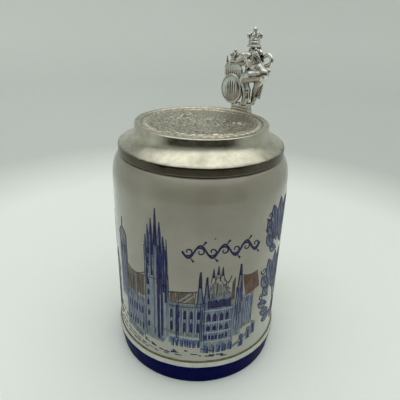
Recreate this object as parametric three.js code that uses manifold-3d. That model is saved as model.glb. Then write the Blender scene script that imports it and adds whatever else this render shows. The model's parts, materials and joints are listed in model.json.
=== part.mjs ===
// A half-litre stoneware beer stein with a hinged pewter lid.
// Millimetres. +Z is up, +X points to the handle, and the origin is on the vessel's axis,
// on the surface that it stands on. The lid turns about a pin that is parallel to Y.
import * as THREE from "three";
import { mergeVertices } from "three/addons/utils/BufferGeometryUtils.js";
import Module from "manifold-3d";

const wasm = await Module();
wasm.setup();

// ---- Driving dimensions ----
const GAP = 0.3; // left between pieces that touch on the real stein
const ROUND = 56; // segments round the vessel and the lid

const VESSEL = {
  wallRadius: 46.1,
  wallThickness: 5.5,
  baseRadius: 44.2,
  footRadius: 47.6,
  footHeight: 13,
  floorHeight: 8,
  shoulderHeight: 104,
  rimHeight: 117.9,
  mouthRadius: 38,
};

const LID = {
  flangeRadius: 42.5,
  flangeBottom: 118.2,
  flangeTop: 122.7,
  drumRadius: 34,
  topHeight: 132.8,
  plateRadius: 32.4,
  plateThickness: 1.1,
  plugRadius: 36.9,
  plugDepth: 4,
};

const HANDLE = {
  halfWidth: 9.5,
  halfThickness: 5.5,
  topHeight: 98,
  bottomHeight: 33.5,
  reach: 78,
};

const STRAP = { start: 52.2, length: 7.5, thickness: 1.8, fit: 0.4 };

const HINGE = {
  x: 50,
  z: 120.5,
  barrelRadius: 3.6,
  pinRadius: 1.2,
  boreRadius: 1.3,
  width: 14,
  knuckles: 5,
  clearance: 0.4,
};

const SHANK = { width: 11.3, inner: 33.1, top: 134 };
const PLINTH = { inner: 33.4, outer: 37.4, height: 1.5, width: 11.3 };

// ---- Solids from three.js geometries ----

// A closed geometry as a manifold-3d solid, its faces turned outwards.
function solidOf(geometry) {
  const plain = geometry.index ? geometry.toNonIndexed() : geometry.clone();
  const bare = new THREE.BufferGeometry();
  bare.setAttribute("position", plain.getAttribute("position"));
  const merged = mergeVertices(bare, 1e-4);
  const corners = [];
  for (let i = 0; i < merged.index.count; i += 3) {
    const [a, b, c] = [0, 1, 2].map((k) => merged.index.getX(i + k));
    if (a !== b && b !== c && c !== a) corners.push(a, b, c);
  }
  const build = (triangles) =>
    new wasm.Manifold(
      new wasm.Mesh({
        numProp: 3,
        vertProperties: new Float32Array(merged.attributes.position.array),
        triVerts: new Uint32Array(triangles),
      }),
    );
  const solid = build(corners);
  return solid.volume() < 0 ? build(corners.reverse()) : solid;
}

function geometryOf(solid) {
  const mesh = solid.getMesh();
  const geometry = new THREE.BufferGeometry();
  const position = new THREE.BufferAttribute(mesh.vertProperties, 3);
  geometry.setAttribute("position", position);
  geometry.setIndex(new THREE.BufferAttribute(mesh.triVerts, 1));
  geometry.computeVertexNormals();
  return geometry;
}

const join = (solids) => solids.reduce((all, solid) => all.add(solid));
const cut = (solid, tools) => tools.reduce((left, tool) => left.subtract(tool), solid);

// A turned solid: a profile of [radius, height] pairs, closed on itself or on the axis.
function turned(profile, segments = ROUND) {
  const points = profile.map(([radius, height]) => new THREE.Vector2(radius, height));
  const geometry = new THREE.LatheGeometry(points, segments);
  return solidOf(geometry.rotateX(Math.PI / 2));
}

// A side outline in X and Z, given depth along Y from yStart to yEnd.
function slab(outline, yStart, yEnd, curveSegments = 6) {
  const options = { depth: yEnd - yStart, bevelEnabled: false, curveSegments };
  const geometry = new THREE.ExtrudeGeometry(outline, options);
  return solidOf(geometry.rotateX(Math.PI / 2).translate(0, yEnd, 0));
}

// A cylinder along Y, round the hinge axis.
function barrel(radius, yStart, yEnd, segments = 24) {
  const geometry = new THREE.CylinderGeometry(radius, radius, yEnd - yStart, segments);
  return solidOf(geometry.translate(HINGE.x, (yStart + yEnd) / 2, HINGE.z));
}

function outlineOf(points) {
  return new THREE.Shape(points.map(([x, z]) => new THREE.Vector2(x, z)));
}

// Points along a quadratic curve, for the rounded stretches of a turned profile.
function bend(from, control, to, steps = 5) {
  const [a, b, c] = [from, control, to].map(([x, y]) => new THREE.Vector2(x, y));
  const curve = new THREE.QuadraticBezierCurve(a, b, c);
  return curve.getPoints(steps).map((point) => [point.x, point.y]);
}

// ---- Stoneware ----

// The outside of the vessel, from the edge of its base up to the rim.
function vesselOutside(grow = 0) {
  const v = VESSEL;
  const profile = [
    [v.baseRadius, -grow],
    [v.baseRadius + 0.9, 0.7],
    [v.baseRadius + 1.6, 4],
    ...bend([v.footRadius - 0.3, 11], [v.footRadius + 0.2, 13.4], [v.footRadius - 0.8, 15], 4),
    ...bend([v.footRadius - 1.2, 15.8], [v.wallRadius, 16.2], [v.wallRadius, 17.6], 2),
    ...bend(
      [v.wallRadius, v.shoulderHeight],
      [v.wallRadius, v.shoulderHeight + 9],
      [43.2, v.rimHeight - 1.2],
      5,
    ),
    [42.5, v.rimHeight - 0.4],
    [41.6, v.rimHeight],
  ];
  return profile.map(([radius, height]) => [radius + grow, height]);
}

function vessel() {
  const v = VESSEL;
  const inner = v.wallRadius - v.wallThickness;
  const inside = [
    [v.mouthRadius + 0.9, v.rimHeight],
    [v.mouthRadius, v.rimHeight - 0.9],
    ...bend([v.mouthRadius, 114.6], [inner, 111], [inner, v.shoulderHeight], 3),
    ...bend([inner, 15], [inner, v.floorHeight], [inner - 7, v.floorHeight], 3),
    [0, v.floorHeight],
  ];
  return turned([[0, 0], ...vesselOutside(), ...inside]);
}

// Everything that the vessel's outside fills, a gap larger, to trim its neighbours with.
function vesselKeepOut() {
  return turned([[0, -GAP], ...vesselOutside(GAP), [0, VESSEL.rimHeight]]);
}

// The outline of the handle's oval section, grown all round. The first number is across Y.
function handleSection(grow, points = 20) {
  const squareness = 2.5;
  const outline = [];
  for (let i = 0; i < points; i++) {
    const angle = (2 * Math.PI * i) / points;
    const reach = (c) => Math.sign(c) * Math.abs(c) ** (2 / squareness);
    outline.push([
      (HANDLE.halfWidth + grow) * reach(Math.cos(angle)),
      (HANDLE.halfThickness + grow) * reach(Math.sin(angle)),
    ]);
  }
  return outlineOf(outline);
}

function handle() {
  const h = HANDLE;
  const start = VESSEL.wallRadius - 3;
  const middle = (h.topHeight + h.bottomHeight) / 2;
  // The first point is a little low. A start that is exactly along X turns the section on its side.
  const path = new THREE.CatmullRomCurve3(
    [
      [start, h.topHeight - 0.2],
      [start + 9, h.topHeight],
      [start + 18, h.topHeight],
      [h.reach - 6, h.topHeight - 5.5],
      [h.reach - 1.2, middle + 18],
      [h.reach, middle + 4],
      [h.reach - 4, middle - 10],
      [h.reach - 12, middle - 21.5],
      [h.reach - 22.5, h.bottomHeight + 3.6],
      [start, h.bottomHeight],
    ].map(([x, z]) => new THREE.Vector3(x, 0, z)),
  );
  const options = { steps: 26, extrudePath: path, bevelEnabled: false };
  const raw = solidOf(new THREE.ExtrudeGeometry(handleSection(0), options));
  return raw.subtract(vesselKeepOut());
}

// ---- Pewter lid ----

function lidOutside(grow = 0) {
  const l = LID;
  const profile = [
    [l.flangeRadius - 0.5, l.flangeBottom],
    [l.flangeRadius, l.flangeBottom + 0.6],
    [l.flangeRadius, l.flangeTop - 0.4],
    [l.flangeRadius - 0.6, l.flangeTop + 0.3],
    ...bend([l.flangeRadius - 0.9, l.flangeTop + 0.4], [34.3, 125.7], [l.drumRadius + 0.1, 131], 5),
    [l.drumRadius, l.topHeight - 0.6],
    [l.drumRadius - 0.7, l.topHeight],
  ];
  return profile.map(([radius, height]) => [radius + grow, height + grow]);
}

function lid() {
  const l = LID;
  const seat = l.topHeight - 0.5 - l.plateThickness - GAP;
  const recess = l.plateRadius + GAP;
  const plugBottom = l.flangeBottom - l.plugDepth;
  return turned([
    [0, seat],
    [recess, seat],
    [recess, l.topHeight - 0.3],
    [recess + 0.3, l.topHeight],
    ...lidOutside().reverse(),
    [l.plugRadius + 0.3, l.flangeBottom],
    [l.plugRadius, plugBottom + 0.4],
    [l.plugRadius - 0.4, plugBottom],
    [l.plugRadius - 1.8, plugBottom],
    [l.plugRadius - 2, 119.6],
    ...bend([l.drumRadius - 1.2, 122.6], [l.drumRadius - 2.3, 125], [l.drumRadius - 2.4, seat - 3.4], 2),
    [l.drumRadius - 4, seat - 2],
    [0, seat - 2],
  ]);
}

// The low relief's solid: a plate with a raised border and a stepped boss.
function reliefPlate() {
  const l = LID;
  const top = l.topHeight - 0.5;
  return turned([
    [0, top - l.plateThickness],
    [l.plateRadius, top - l.plateThickness],
    [l.plateRadius, top],
    [l.plateRadius - 2, top],
    [l.plateRadius - 2.6, top - 0.4],
    [l.plateRadius - 4, top - 0.4],
    [l.plateRadius - 5, top],
    [0, top],
  ]);
}

function lidKeepOut() {
  const bottom = LID.flangeBottom - GAP;
  const outside = lidOutside(GAP).reverse();
  const [edge] = outside.at(-1);
  return turned([[0, LID.topHeight + GAP], ...outside, [edge, bottom], [0, bottom]]);
}

// ---- Hinge ----

// The span in Y of one knuckle, counted from the -Y end.
function knuckleSpan(index) {
  const pitch = (HINGE.width + GAP) / HINGE.knuckles;
  const start = -HINGE.width / 2 + index * pitch;
  return [start, start + pitch - GAP];
}

const STAND_KNUCKLES = [0, 2, 4];
const LID_KNUCKLES = [1, 3];

const knucklesAt = (indices) =>
  join(indices.map((index) => barrel(HINGE.barrelRadius, ...knuckleSpan(index))));

// Room for the other leaf's knuckles, with running clearance round them and at their ends.
const roomFor = (indices) =>
  indices.map((index) => {
    const [start, end] = knuckleSpan(index);
    return barrel(HINGE.barrelRadius + HINGE.clearance, start - GAP, end + GAP);
  });

const pinBore = () => barrel(HINGE.boreRadius, -HINGE.width, HINGE.width);

// The bar that carries the lid: over the drum's edge, down to the flange and out to the pin.
function lidShank() {
  const { x, z, barrelRadius } = HINGE;
  const outline = new THREE.Shape();
  outline.moveTo(SHANK.inner, LID.topHeight);
  outline.lineTo(SHANK.inner, SHANK.top - 0.3);
  outline.lineTo(SHANK.inner + 0.3, SHANK.top);
  outline.lineTo(PLINTH.outer + 0.1, SHANK.top);
  outline.quadraticCurveTo(PLINTH.outer + 0.4, LID.topHeight - 4, x - 6.7, z + 6.3);
  outline.quadraticCurveTo(x - 3.4, z + barrelRadius + 1, x, z + barrelRadius);
  outline.lineTo(x, z - barrelRadius + 0.4);
  outline.lineTo(LID.flangeRadius + 2, z - 2.9);
  outline.lineTo(LID.flangeRadius - 6, LID.flangeTop);
  const bar = slab(outline, -SHANK.width / 2, SHANK.width / 2);
  const trimmed = cut(bar, [lidKeepOut(), ...roomFor(STAND_KNUCKLES)]);
  return trimmed.add(knucklesAt(LID_KNUCKLES)).subtract(pinBore());
}

// The upright soldered to the strap, which holds the outer knuckles and the middle one.
function hingeStand() {
  const { x, z, width } = HINGE;
  const footTop = HANDLE.topHeight + HANDLE.halfThickness;
  const outline = new THREE.Shape();
  outline.moveTo(STRAP.start + 0.4, footTop);
  outline.lineTo(STRAP.start + STRAP.length - 0.4, footTop);
  outline.quadraticCurveTo(STRAP.start + STRAP.length - 1.4, footTop + 6, x + 5.2, footTop + 9);
  outline.lineTo(x + 3.5, z);
  outline.lineTo(x - 0.6, z);
  outline.lineTo(x - 1.3, z - 5);
  outline.quadraticCurveTo(x, footTop + 8, STRAP.start + 0.4, footTop);
  const upright = slab(outline, -width / 2, width / 2);
  const band = strapTube(STRAP.start - 1, STRAP.length + 2, STRAP.fit + STRAP.thickness + GAP);
  const trimmed = cut(upright, [band, ...roomFor(LID_KNUCKLES)]);
  return trimmed.add(knucklesAt(STAND_KNUCKLES)).subtract(pinBore());
}

const hingePin = () => barrel(HINGE.pinRadius, -HINGE.width / 2 + 0.1, HINGE.width / 2 - 0.1, 20);

// A domed disc that closes one end of the knuckles. Side is +1 or -1 along Y.
function hingeCap(side) {
  const radius = HINGE.barrelRadius - 0.2;
  const dome = [[0, 0], [radius, 0], [radius, 0.4], ...bend([radius - 0.5, 0.9], [2, 1.3], [0, 1.35], 2)];
  const points = dome.map(([r, h]) => new THREE.Vector2(r, h));
  const geometry = new THREE.LatheGeometry(points, 18);
  if (side < 0) geometry.rotateX(Math.PI);
  return solidOf(geometry.translate(HINGE.x, side * (HINGE.width / 2 + GAP), HINGE.z));
}

// The handle's section, grown and carried along X.
function strapTube(start, length, grow) {
  const options = { depth: length, bevelEnabled: false };
  const geometry = new THREE.ExtrudeGeometry(handleSection(grow, 28), options);
  geometry.rotateX(Math.PI / 2).rotateZ(Math.PI / 2);
  return solidOf(geometry.translate(start, 0, HANDLE.topHeight));
}

function handleStrap() {
  const band = strapTube(STRAP.start, STRAP.length, STRAP.fit + STRAP.thickness);
  return band.subtract(strapTube(STRAP.start - 1, STRAP.length + 2, STRAP.fit));
}

// ---- Thumb lift: a crowned lion that stands behind an oval shield ----
// Its points are [across, up, back]: across runs towards -Y, up from the plinth's top,
// and back along +X from the plinth's middle.

const PLINTH_TOP = SHANK.top + GAP + PLINTH.height;

function liftPoint([across, up, back]) {
  return new THREE.Vector3((PLINTH.inner + PLINTH.outer) / 2 + back, -across, PLINTH_TOP + up);
}

// An oval ball. Stretch is its size across, up and back, as shares of the radius.
function ball(at, radius, stretch = [1, 1, 1], segments = 8) {
  const geometry = new THREE.SphereGeometry(radius, segments, Math.ceil(segments * 0.6));
  const [across, up, back] = stretch;
  geometry.scale(back, across, up).translate(...liftPoint(at));
  return solidOf(geometry);
}

function rod(from, to, fromRadius, toRadius) {
  const [start, end] = [liftPoint(from), liftPoint(to)];
  const along = end.clone().sub(start);
  const geometry = new THREE.CylinderGeometry(toRadius, fromRadius, along.length(), 6);
  const turn = new THREE.Quaternion().setFromUnitVectors(
    new THREE.Vector3(0, 1, 0),
    along.clone().normalize(),
  );
  geometry.applyQuaternion(turn).translate(...start.add(end).divideScalar(2));
  return solidOf(geometry);
}

// Rods from joint to joint, with a ball at each. A joint is [[across, up, back], radius].
function limb(joints) {
  const pieces = joints.map(([at, radius]) => ball(at, radius, [1, 1, 1], 6));
  for (let i = 1; i < joints.length; i++) {
    const [[from, fromRadius], [to, toRadius]] = [joints[i - 1], joints[i]];
    pieces.push(rod(from, to, fromRadius * 0.9, toRadius * 0.9));
  }
  return join(pieces);
}

// A crown with its orb, turned about an upright axis. Size is its largest radius.
function crown([across, up, back], size) {
  const profile = [
    [0, -0.3], [0.8, -0.3], [0.76, 0.4], [1, 0.95], [0.6, 1.35], [0, 1.45],
  ].map(([radius, height]) => new THREE.Vector2(radius * size, height * size));
  const body = new THREE.LatheGeometry(profile, 12).rotateX(Math.PI / 2);
  body.translate(...liftPoint([across, up, back]));
  const orb = up + 1.95 * size;
  return join([
    solidOf(body),
    ball([across, orb, back], size * 0.36),
    rod([across, up + size, back], [across, orb + size * 0.5, back], size * 0.2, size * 0.12),
  ]);
}

function plinth() {
  const shape = outlineOf([
    [PLINTH.inner, SHANK.top + GAP],
    [PLINTH.outer, SHANK.top + GAP],
    [PLINTH.outer, PLINTH_TOP],
    [PLINTH.inner, PLINTH_TOP],
  ]);
  return slab(shape, -PLINTH.width / 2, PLINTH.width / 2);
}

function shield() {
  return join([
    ball([-6.8, 8, -1], 8.2, [0.8, 1, 0.3], 14),
    limb([[[-10, 21.2, -1], 1.3], [[-5, 21.6, -1], 1.5], [[1.4, 21.9, -0.8], 1.3]]),
    limb([[[-10, 21.2, -1], 1.3], [[-10.8, 17.4, -1], 1.2]]),
    ball([-6, 17.6, -1], 3.6, [1.3, 1, 0.6]),
    rod([-10.2, 21, -1], [-10.6, 25.2, -1], 1, 0.6),
    crown([-5.4, 22.6, -0.9], 3),
    ball([-1.6, 0, -0.6], 5, [0.9, 0.32, 0.4]),
  ]);
}

function lion() {
  return join([
    limb([[[12.2, 17.8, 0.8], 3.6], [[9, 20.8, 0.4], 3.4], [[5.4, 23.4, 0], 4]]),
    ball([5.2, 23.4, 0], 5.4, [1, 0.75, 0.7], 10),
    ball([6.2, 28.2, 0], 3.8, [1, 0.9, 0.85], 9),
    limb([[[4.6, 28, -0.6], 2.5], [[2.4, 27.4, -0.8], 1.6]]),
    ball([9.4, 28, 0.6], 2.4, [0.7, 1.3, 0.9]),
    crown([5.5, 31.3, 0], 4),
    limb([[[3.2, 25.6, -1.2], 2.2], [[-1, 24.8, -1.4], 1.8], [[-3.4, 23, -1.4], 1.5]]),
    limb([[[2.6, 22.2, 1.2], 2.2], [[-1, 21.6, 0.8], 1.7]]),
    limb([[[10.4, 16.6, -0.8], 3.6], [[3.2, 14.4, -1.2], 3], [[4, 4.4, -1], 1.8], [[2.6, 1, -1], 1.5]]),
    limb([[[10.4, 13.8, 1], 2.8], [[8.4, 8.4, 1.2], 2.2], [[8, 3.4, 1], 1.7], [[5.6, 0.9, 0.6], 1.4]]),
    rod([11, 12, 1.2], [10.2, 6.4, 1.2], 2, 1.3),
    tail(),
  ]);
}

function tail() {
  return limb([
    [[14, 18.6, 0.8], 1.7], [[15.6, 20.4, 0.8], 1.5], [[12.6, 22, 0.8], 1.3], [[15.8, 23, 0.8], 1.3],
    [[16.4, 25.6, 0.8], 1.3], [[14, 27.6, 0.8], 1.3], [[11, 26.2, 0.8], 1.3],
  ]);
}

// Keeps everything on the lift above the bar that it stands on.
function liftFloor() {
  const top = SHANK.top + GAP;
  const shape = outlineOf([[20, top - 8], [55, top - 8], [55, top], [20, top]]);
  return slab(shape, -30, 30);
}

const thumbLift = () => join([plinth(), shield(), lion()]).subtract(liftFloor());

// ---- Assembly ----

const MATERIALS = {
  stoneware: { color: 0xa9a99c, roughness: 0.35, metalness: 0 },
  pewter: { color: 0xa6a497, roughness: 0.38, metalness: 0.9 },
  steel: { color: 0xb8bab8, roughness: 0.3, metalness: 1 },
};

function piece(name, finish, solid) {
  const material = new THREE.MeshStandardMaterial(MATERIALS[finish]);
  const mesh = new THREE.Mesh(geometryOf(solid), material);
  mesh.name = name;
  return mesh;
}

const stein = new THREE.Group();
stein.add(
  piece("mug_body", "stoneware", vessel()),
  piece("handle", "stoneware", handle()),
  piece("handle_strap", "pewter", handleStrap()),
  piece("hinge_stand", "pewter", hingeStand()),
  piece("hinge_pin", "steel", hingePin()),
  piece("hinge_cap_left", "pewter", hingeCap(1)),
  piece("hinge_cap_right", "pewter", hingeCap(-1)),
);

const lidGroup = new THREE.Group();
lidGroup.add(
  piece("lid", "pewter", lid()),
  piece("lid_relief_plate", "pewter", reliefPlate()),
  piece("lid_shank", "pewter", lidShank()),
  piece("thumb_lift", "pewter", thumbLift()),
);
stein.add(lidGroup);

export default stein;
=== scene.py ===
"""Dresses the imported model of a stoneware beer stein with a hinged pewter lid.

Lengths are millimetres until a mesh is made. The frame has +Z up and +X towards the handle.
Round the wall, places are (s, z): s is the distance round from the side that faces the camera,
positive to the right, and z is the height.
"""
import json
import math
import random
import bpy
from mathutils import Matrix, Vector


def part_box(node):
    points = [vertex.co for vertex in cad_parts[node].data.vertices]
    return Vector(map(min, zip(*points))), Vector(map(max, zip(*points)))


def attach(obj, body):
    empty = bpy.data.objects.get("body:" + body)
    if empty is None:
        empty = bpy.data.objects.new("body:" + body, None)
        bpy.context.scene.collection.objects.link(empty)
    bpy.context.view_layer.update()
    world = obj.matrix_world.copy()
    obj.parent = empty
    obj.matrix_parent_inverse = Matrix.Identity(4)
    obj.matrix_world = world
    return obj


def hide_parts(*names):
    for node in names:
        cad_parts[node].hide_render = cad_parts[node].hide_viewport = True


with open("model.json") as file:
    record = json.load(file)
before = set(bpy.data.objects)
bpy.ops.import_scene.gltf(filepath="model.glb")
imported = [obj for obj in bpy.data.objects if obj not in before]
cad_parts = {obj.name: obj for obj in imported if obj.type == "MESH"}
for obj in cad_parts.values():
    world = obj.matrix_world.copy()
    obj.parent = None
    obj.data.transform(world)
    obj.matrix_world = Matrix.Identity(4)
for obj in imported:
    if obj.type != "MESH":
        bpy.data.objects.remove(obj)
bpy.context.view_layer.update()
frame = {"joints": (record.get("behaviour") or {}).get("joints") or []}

from types import SimpleNamespace

import bmesh
import bpy
import numpy as np
import openvdb
from mathutils import Matrix, Vector

MM = 0.001
VESSEL, LID = "vessel", "lid_assembly"


def extent(node):
    """The lowest and highest corner of a CAD node, in millimetres."""
    low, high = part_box(node)
    return Vector(low) / MM, Vector(high) / MM


# ---- Driving dimensions ----
RIM_Z = extent("mug_body")[1].z
FOOT_R = extent("mug_body")[1].x
WALL_R = FOOT_R - 1.36
INNER_R = WALL_R - 5.5
BASE_RING_R = FOOT_R - 7
MOUTH_R = 38.0
FLOOR_Z = 8.0
SHOULDER_Z = 104.0
BLUE_TOP, BEAD_TOP, OCHRE_TOP = 12.5, 15.2, 16.1

LID_R = extent("lid")[1].x
LID_BOTTOM = 118.2
LID_TOP = extent("lid")[1].z
FLANGE_TOP = 122.9
DRUM_R = 34.0
PLATE_R = extent("lid_relief_plate")[1].x
PLATE_LOW, PLATE_TOP = extent("lid_relief_plate")[0].z, extent("lid_relief_plate")[1].z
PLUG_R = 36.9

HINGE_X, _, HINGE_Z = [value / MM for value in frame["joints"][0]["pos_m"]]
HINGE_HALF = extent("hinge_stand")[1].y
KNUCKLE_R = extent("lid_shank")[1].x - HINGE_X
KNUCKLE_GAP = 0.3
BORE_R, PIN_R = 1.3, 1.2

HANDLE_HALF_WIDTH = extent("handle")[1].y
HANDLE_HALF_THICK = 5.5
HANDLE_SQUARENESS = 2.5
HANDLE_TOP, HANDLE_BOTTOM = 98.0, 33.5
HANDLE_REACH = 78.0
STRAP_LOW, STRAP_HIGH = extent("handle_strap")

SHANK_LOW, SHANK_HIGH = extent("lid_shank")
PLINTH_X = 35.4
PLINTH_TOP = SHANK_HIGH.z + 1.8
PLINTH_HALF_DEPTH = 2.0


# ---- Camera, floor and light ----
CAMERA_AZIMUTH = math.radians(218.5)
CAMERA_PITCH = math.radians(25.18)
CAMERA_ROLL = math.radians(1.71)
CAMERA_BACK, CAMERA_UP, CAMERA_RIGHT = 200.56, 182.41, 0.29
SENSOR_WIDTH = FOCAL_LENGTH = 36
SKY_STRENGTH, SKY_LEAN = 1.37, 0.1


def camera_axes():
    """The level directions to the camera's right and away from it."""
    away = -Vector((math.cos(CAMERA_AZIMUTH), math.sin(CAMERA_AZIMUTH), 0))
    return Vector((away.y, -away.x, 0)), away


def make_camera():
    right, away = camera_axes()
    up = Vector((0, 0, 1))
    cos_roll, sin_roll = math.cos(CAMERA_ROLL), math.sin(CAMERA_ROLL)
    forward = away * math.cos(CAMERA_PITCH) - up * math.sin(CAMERA_PITCH)
    level_up = away * math.sin(CAMERA_PITCH) + up * math.cos(CAMERA_PITCH)
    side = right * cos_roll + level_up * sin_roll
    top = level_up * cos_roll - right * sin_roll
    camera = bpy.data.objects.new("camera", bpy.data.cameras.new("camera"))
    bpy.context.scene.collection.objects.link(camera)
    position = right * CAMERA_RIGHT - away * CAMERA_BACK + up * CAMERA_UP
    turn = Matrix((side, top, -forward)).transposed().to_4x4()
    camera.matrix_world = Matrix.Translation(position * MM) @ turn
    camera.data.sensor_width = SENSOR_WIDTH
    camera.data.lens = FOCAL_LENGTH
    camera.data.clip_start = 0.005
    bpy.context.scene.camera = camera


def make_light():
    """Soft light from a wide opening over a white paper sweep, with a dim room round it."""
    bpy.context.scene.view_settings.view_transform = "Standard"
    world = bpy.context.scene.world or bpy.data.worlds.new("world")
    bpy.context.scene.world = world
    world.use_nodes = True
    nodes, links = world.node_tree.nodes, world.node_tree.links
    direction = nodes.new("ShaderNodeVectorMath")
    direction.operation = "DOT_PRODUCT"
    links.new(nodes.new("ShaderNodeTexCoord").outputs["Generated"], direction.inputs[0])
    direction.inputs[1].default_value = Vector((0, 0, 1)) + camera_axes()[0] * SKY_LEAN
    ramp = nodes.new("ShaderNodeValToRGB")
    links.new(direction.outputs["Value"], ramp.inputs["Fac"])
    ramp.color_ramp.elements[0].position = 0.50
    ramp.color_ramp.elements[0].color = (0.20, 0.21, 0.20, 1)
    ramp.color_ramp.elements[1].position = 0.85
    ramp.color_ramp.elements[1].color = (1.0, 1.02, 0.98, 1)
    background = nodes["Background"]
    links.new(ramp.outputs["Color"], background.inputs["Color"])
    background.inputs["Strength"].default_value = SKY_STRENGTH


# ---- Meshes ----
def mesh_piece(name, points, faces, materials, face_slots=None, sharp=35):
    """An object from points in millimetres, smooth except across edges sharper than sharp degrees."""
    mesh = bpy.data.meshes.new(name)
    mesh.from_pydata((np.asarray(points, dtype=float) * MM).tolist(), [], faces)
    return finish_mesh(name, mesh, materials, face_slots, sharp)


def finish_mesh(name, mesh, materials, face_slots=None, sharp=35):
    for material in materials:
        mesh.materials.append(material)
    mesh.polygons.foreach_set("use_smooth", [True] * len(mesh.polygons))
    if face_slots is not None:
        mesh.polygons.foreach_set("material_index", face_slots)
    mesh.set_sharp_from_angle(angle=math.radians(sharp))
    mesh.update()
    piece = bpy.data.objects.new(name, mesh)
    bpy.context.scene.collection.objects.link(piece)
    return piece


def place(piece, body, slot, *nodes):
    """Says what a piece rides on, and the CAD nodes that it stands for. Its finish, slot, is not used."""
    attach(piece, body)
    if nodes:
        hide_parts(*nodes)
    return piece


def bend(start, control, end, steps=8):
    """Points along a quadratic curve."""
    a, b, c = (np.array(point, dtype=float) for point in (start, control, end))
    ts = np.linspace(0, 1, steps + 1)
    return [tuple((1 - t) ** 2 * a + 2 * t * (1 - t) * b + t * t * c) for t in ts]


def smooth_path(points, steps=10):
    """Points along a Catmull-Rom curve through the given ones."""
    knots = [np.array(p, dtype=float) for p in points]
    knots = [2 * knots[0] - knots[1]] + knots + [2 * knots[-1] - knots[-2]]
    path = []
    for before, a, b, after in zip(knots, knots[1:], knots[2:], knots[3:]):
        for t in np.arange(steps) / steps:
            path.append(
                0.5 * (2 * a + (b - before) * t + (2 * before - 5 * a + 4 * b - after) * t**2
                       + (3 * a - before - 3 * b + after) * t**3)
            )
    path.append(knots[-2])
    return path


def lathe(profile, segments, nudge=None):
    """Points and faces of a profile of (radius, height) turned about Z.

    The profile starts and ends on the axis, or closes on itself. nudge(angle, radius, height)
    gives a small change to the height.
    """
    angles = np.arange(segments) * 2 * math.pi / segments
    points, rings = [], []
    for radius, height in profile:
        if radius == 0:
            rings.append([len(points)] * segments)
            points.append((0, 0, height))
            continue
        rings.append(list(range(len(points), len(points) + segments)))
        for angle in angles:
            lift = nudge(angle, radius, height) if nudge else 0
            points.append((radius * math.cos(angle), radius * math.sin(angle), height + lift))
    closed = profile[0][0] != 0
    pairs = list(zip(rings, rings[1:])) + ([(rings[-1], rings[0])] if closed else [])
    faces, bands = [], []
    for band, (low, high) in enumerate(pairs):
        for i in range(segments):
            j = (i + 1) % segments
            corners = [low[i], low[j], high[j], high[i]]
            face = [c for k, c in enumerate(corners) if c != corners[k - 1]]
            faces.append(face)
            bands.append(band)
    return points, faces, bands


def turned_on_hinge(profile):
    """Points and faces of a profile of (radius, distance along Y) turned about the hinge's axis."""
    points, faces, _ = lathe(profile, 48)
    return [(HINGE_X + a, height, HINGE_Z - b) for a, b, height in points], faces


# ---- Castings: solids held as distances on a grid, negative inside ----
class Clay:
    """A block of space in which shapes are joined softly, as in a cast piece."""

    def __init__(self, low, high, step):
        self.low, self.step = np.array(low, dtype=float), step
        axes = [np.arange(a, b + step, step, dtype=np.float32) for a, b in zip(low, high)]
        self.x, self.y, self.z = np.meshgrid(*axes, indexing="ij", sparse=True)
        self.field = np.full([len(axis) for axis in axes], 50, dtype=np.float32)

    def add(self, shape, soft=0.3):
        self.field = soft_min(self.field, shape, soft)

    def cut(self, shape, soft=0.15):
        self.field = -soft_min(-self.field, shape, soft)

    def piece(self, name, material, relax=2):
        """The surface as an object."""
        grid = openvdb.FloatGrid()
        grid.copyFromArray(np.ascontiguousarray(self.field))
        points, quads = grid.convertToQuads(isovalue=0)
        points = (self.low + points * self.step) * MM
        mesh = bpy.data.meshes.new(name)
        mesh.from_pydata(points.tolist(), [], quads.tolist())
        shape = bmesh.new()
        shape.from_mesh(mesh)
        if shape.calc_volume(signed=True) < 0:
            bmesh.ops.reverse_faces(shape, faces=shape.faces)
        for _ in range(relax):
            bmesh.ops.smooth_vert(
                shape, verts=shape.verts, factor=0.4, use_axis_x=True, use_axis_y=True, use_axis_z=True
            )
        shape.to_mesh(mesh)
        shape.free()
        return finish_mesh(name, mesh, [material], sharp=60)

    # Shapes, as distances over the whole grid
    def ball(self, at, radii):
        x, y, z = (c - p for c, p in zip((self.x, self.y, self.z), at))
        rx, ry, rz = radii
        near = np.sqrt((x / rx) ** 2 + (y / ry) ** 2 + (z / rz) ** 2)
        slope = np.sqrt((x / rx**2) ** 2 + (y / ry**2) ** 2 + (z / rz**2) ** 2)
        return near * (near - 1) / np.maximum(slope, 1e-4)

    def rod(self, start, end, start_radius, end_radius):
        along = [float(b - a) for a, b in zip(start, end)]
        from_start = [c - a for c, a in zip((self.x, self.y, self.z), start)]
        length = sum(d * d for d in along)
        share = sum(p * d for p, d in zip(from_start, along)) / length
        share = np.clip(share, 0, 1)
        off = [p - share * d for p, d in zip(from_start, along)]
        return np.sqrt(sum(o * o for o in off)) - (start_radius + (end_radius - start_radius) * share)

    def slab(self, outline, low_y, high_y):
        """An outline in X and Z, with depth along Y."""
        across = np.maximum(low_y - self.y, self.y - high_y)
        return np.maximum(inside(outline, self.x, self.z), across)

    def turned(self, outline):
        """An outline of (radius, height) turned about the Z axis."""
        return inside(outline, np.sqrt(self.x**2 + self.y**2), self.z)

    def barrel(self, radius, low_y, high_y):
        """A cylinder along Y, round the hinge axis."""
        around = np.sqrt((self.x - HINGE_X) ** 2 + (self.z - HINGE_Z) ** 2) - radius
        return np.maximum(around, np.maximum(low_y - self.y, self.y - high_y))


def soft_min(a, b, soft):
    reach = np.maximum(soft - np.abs(a - b), 0) / soft
    return np.minimum(a, b) - reach * reach * soft * 0.25


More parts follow.
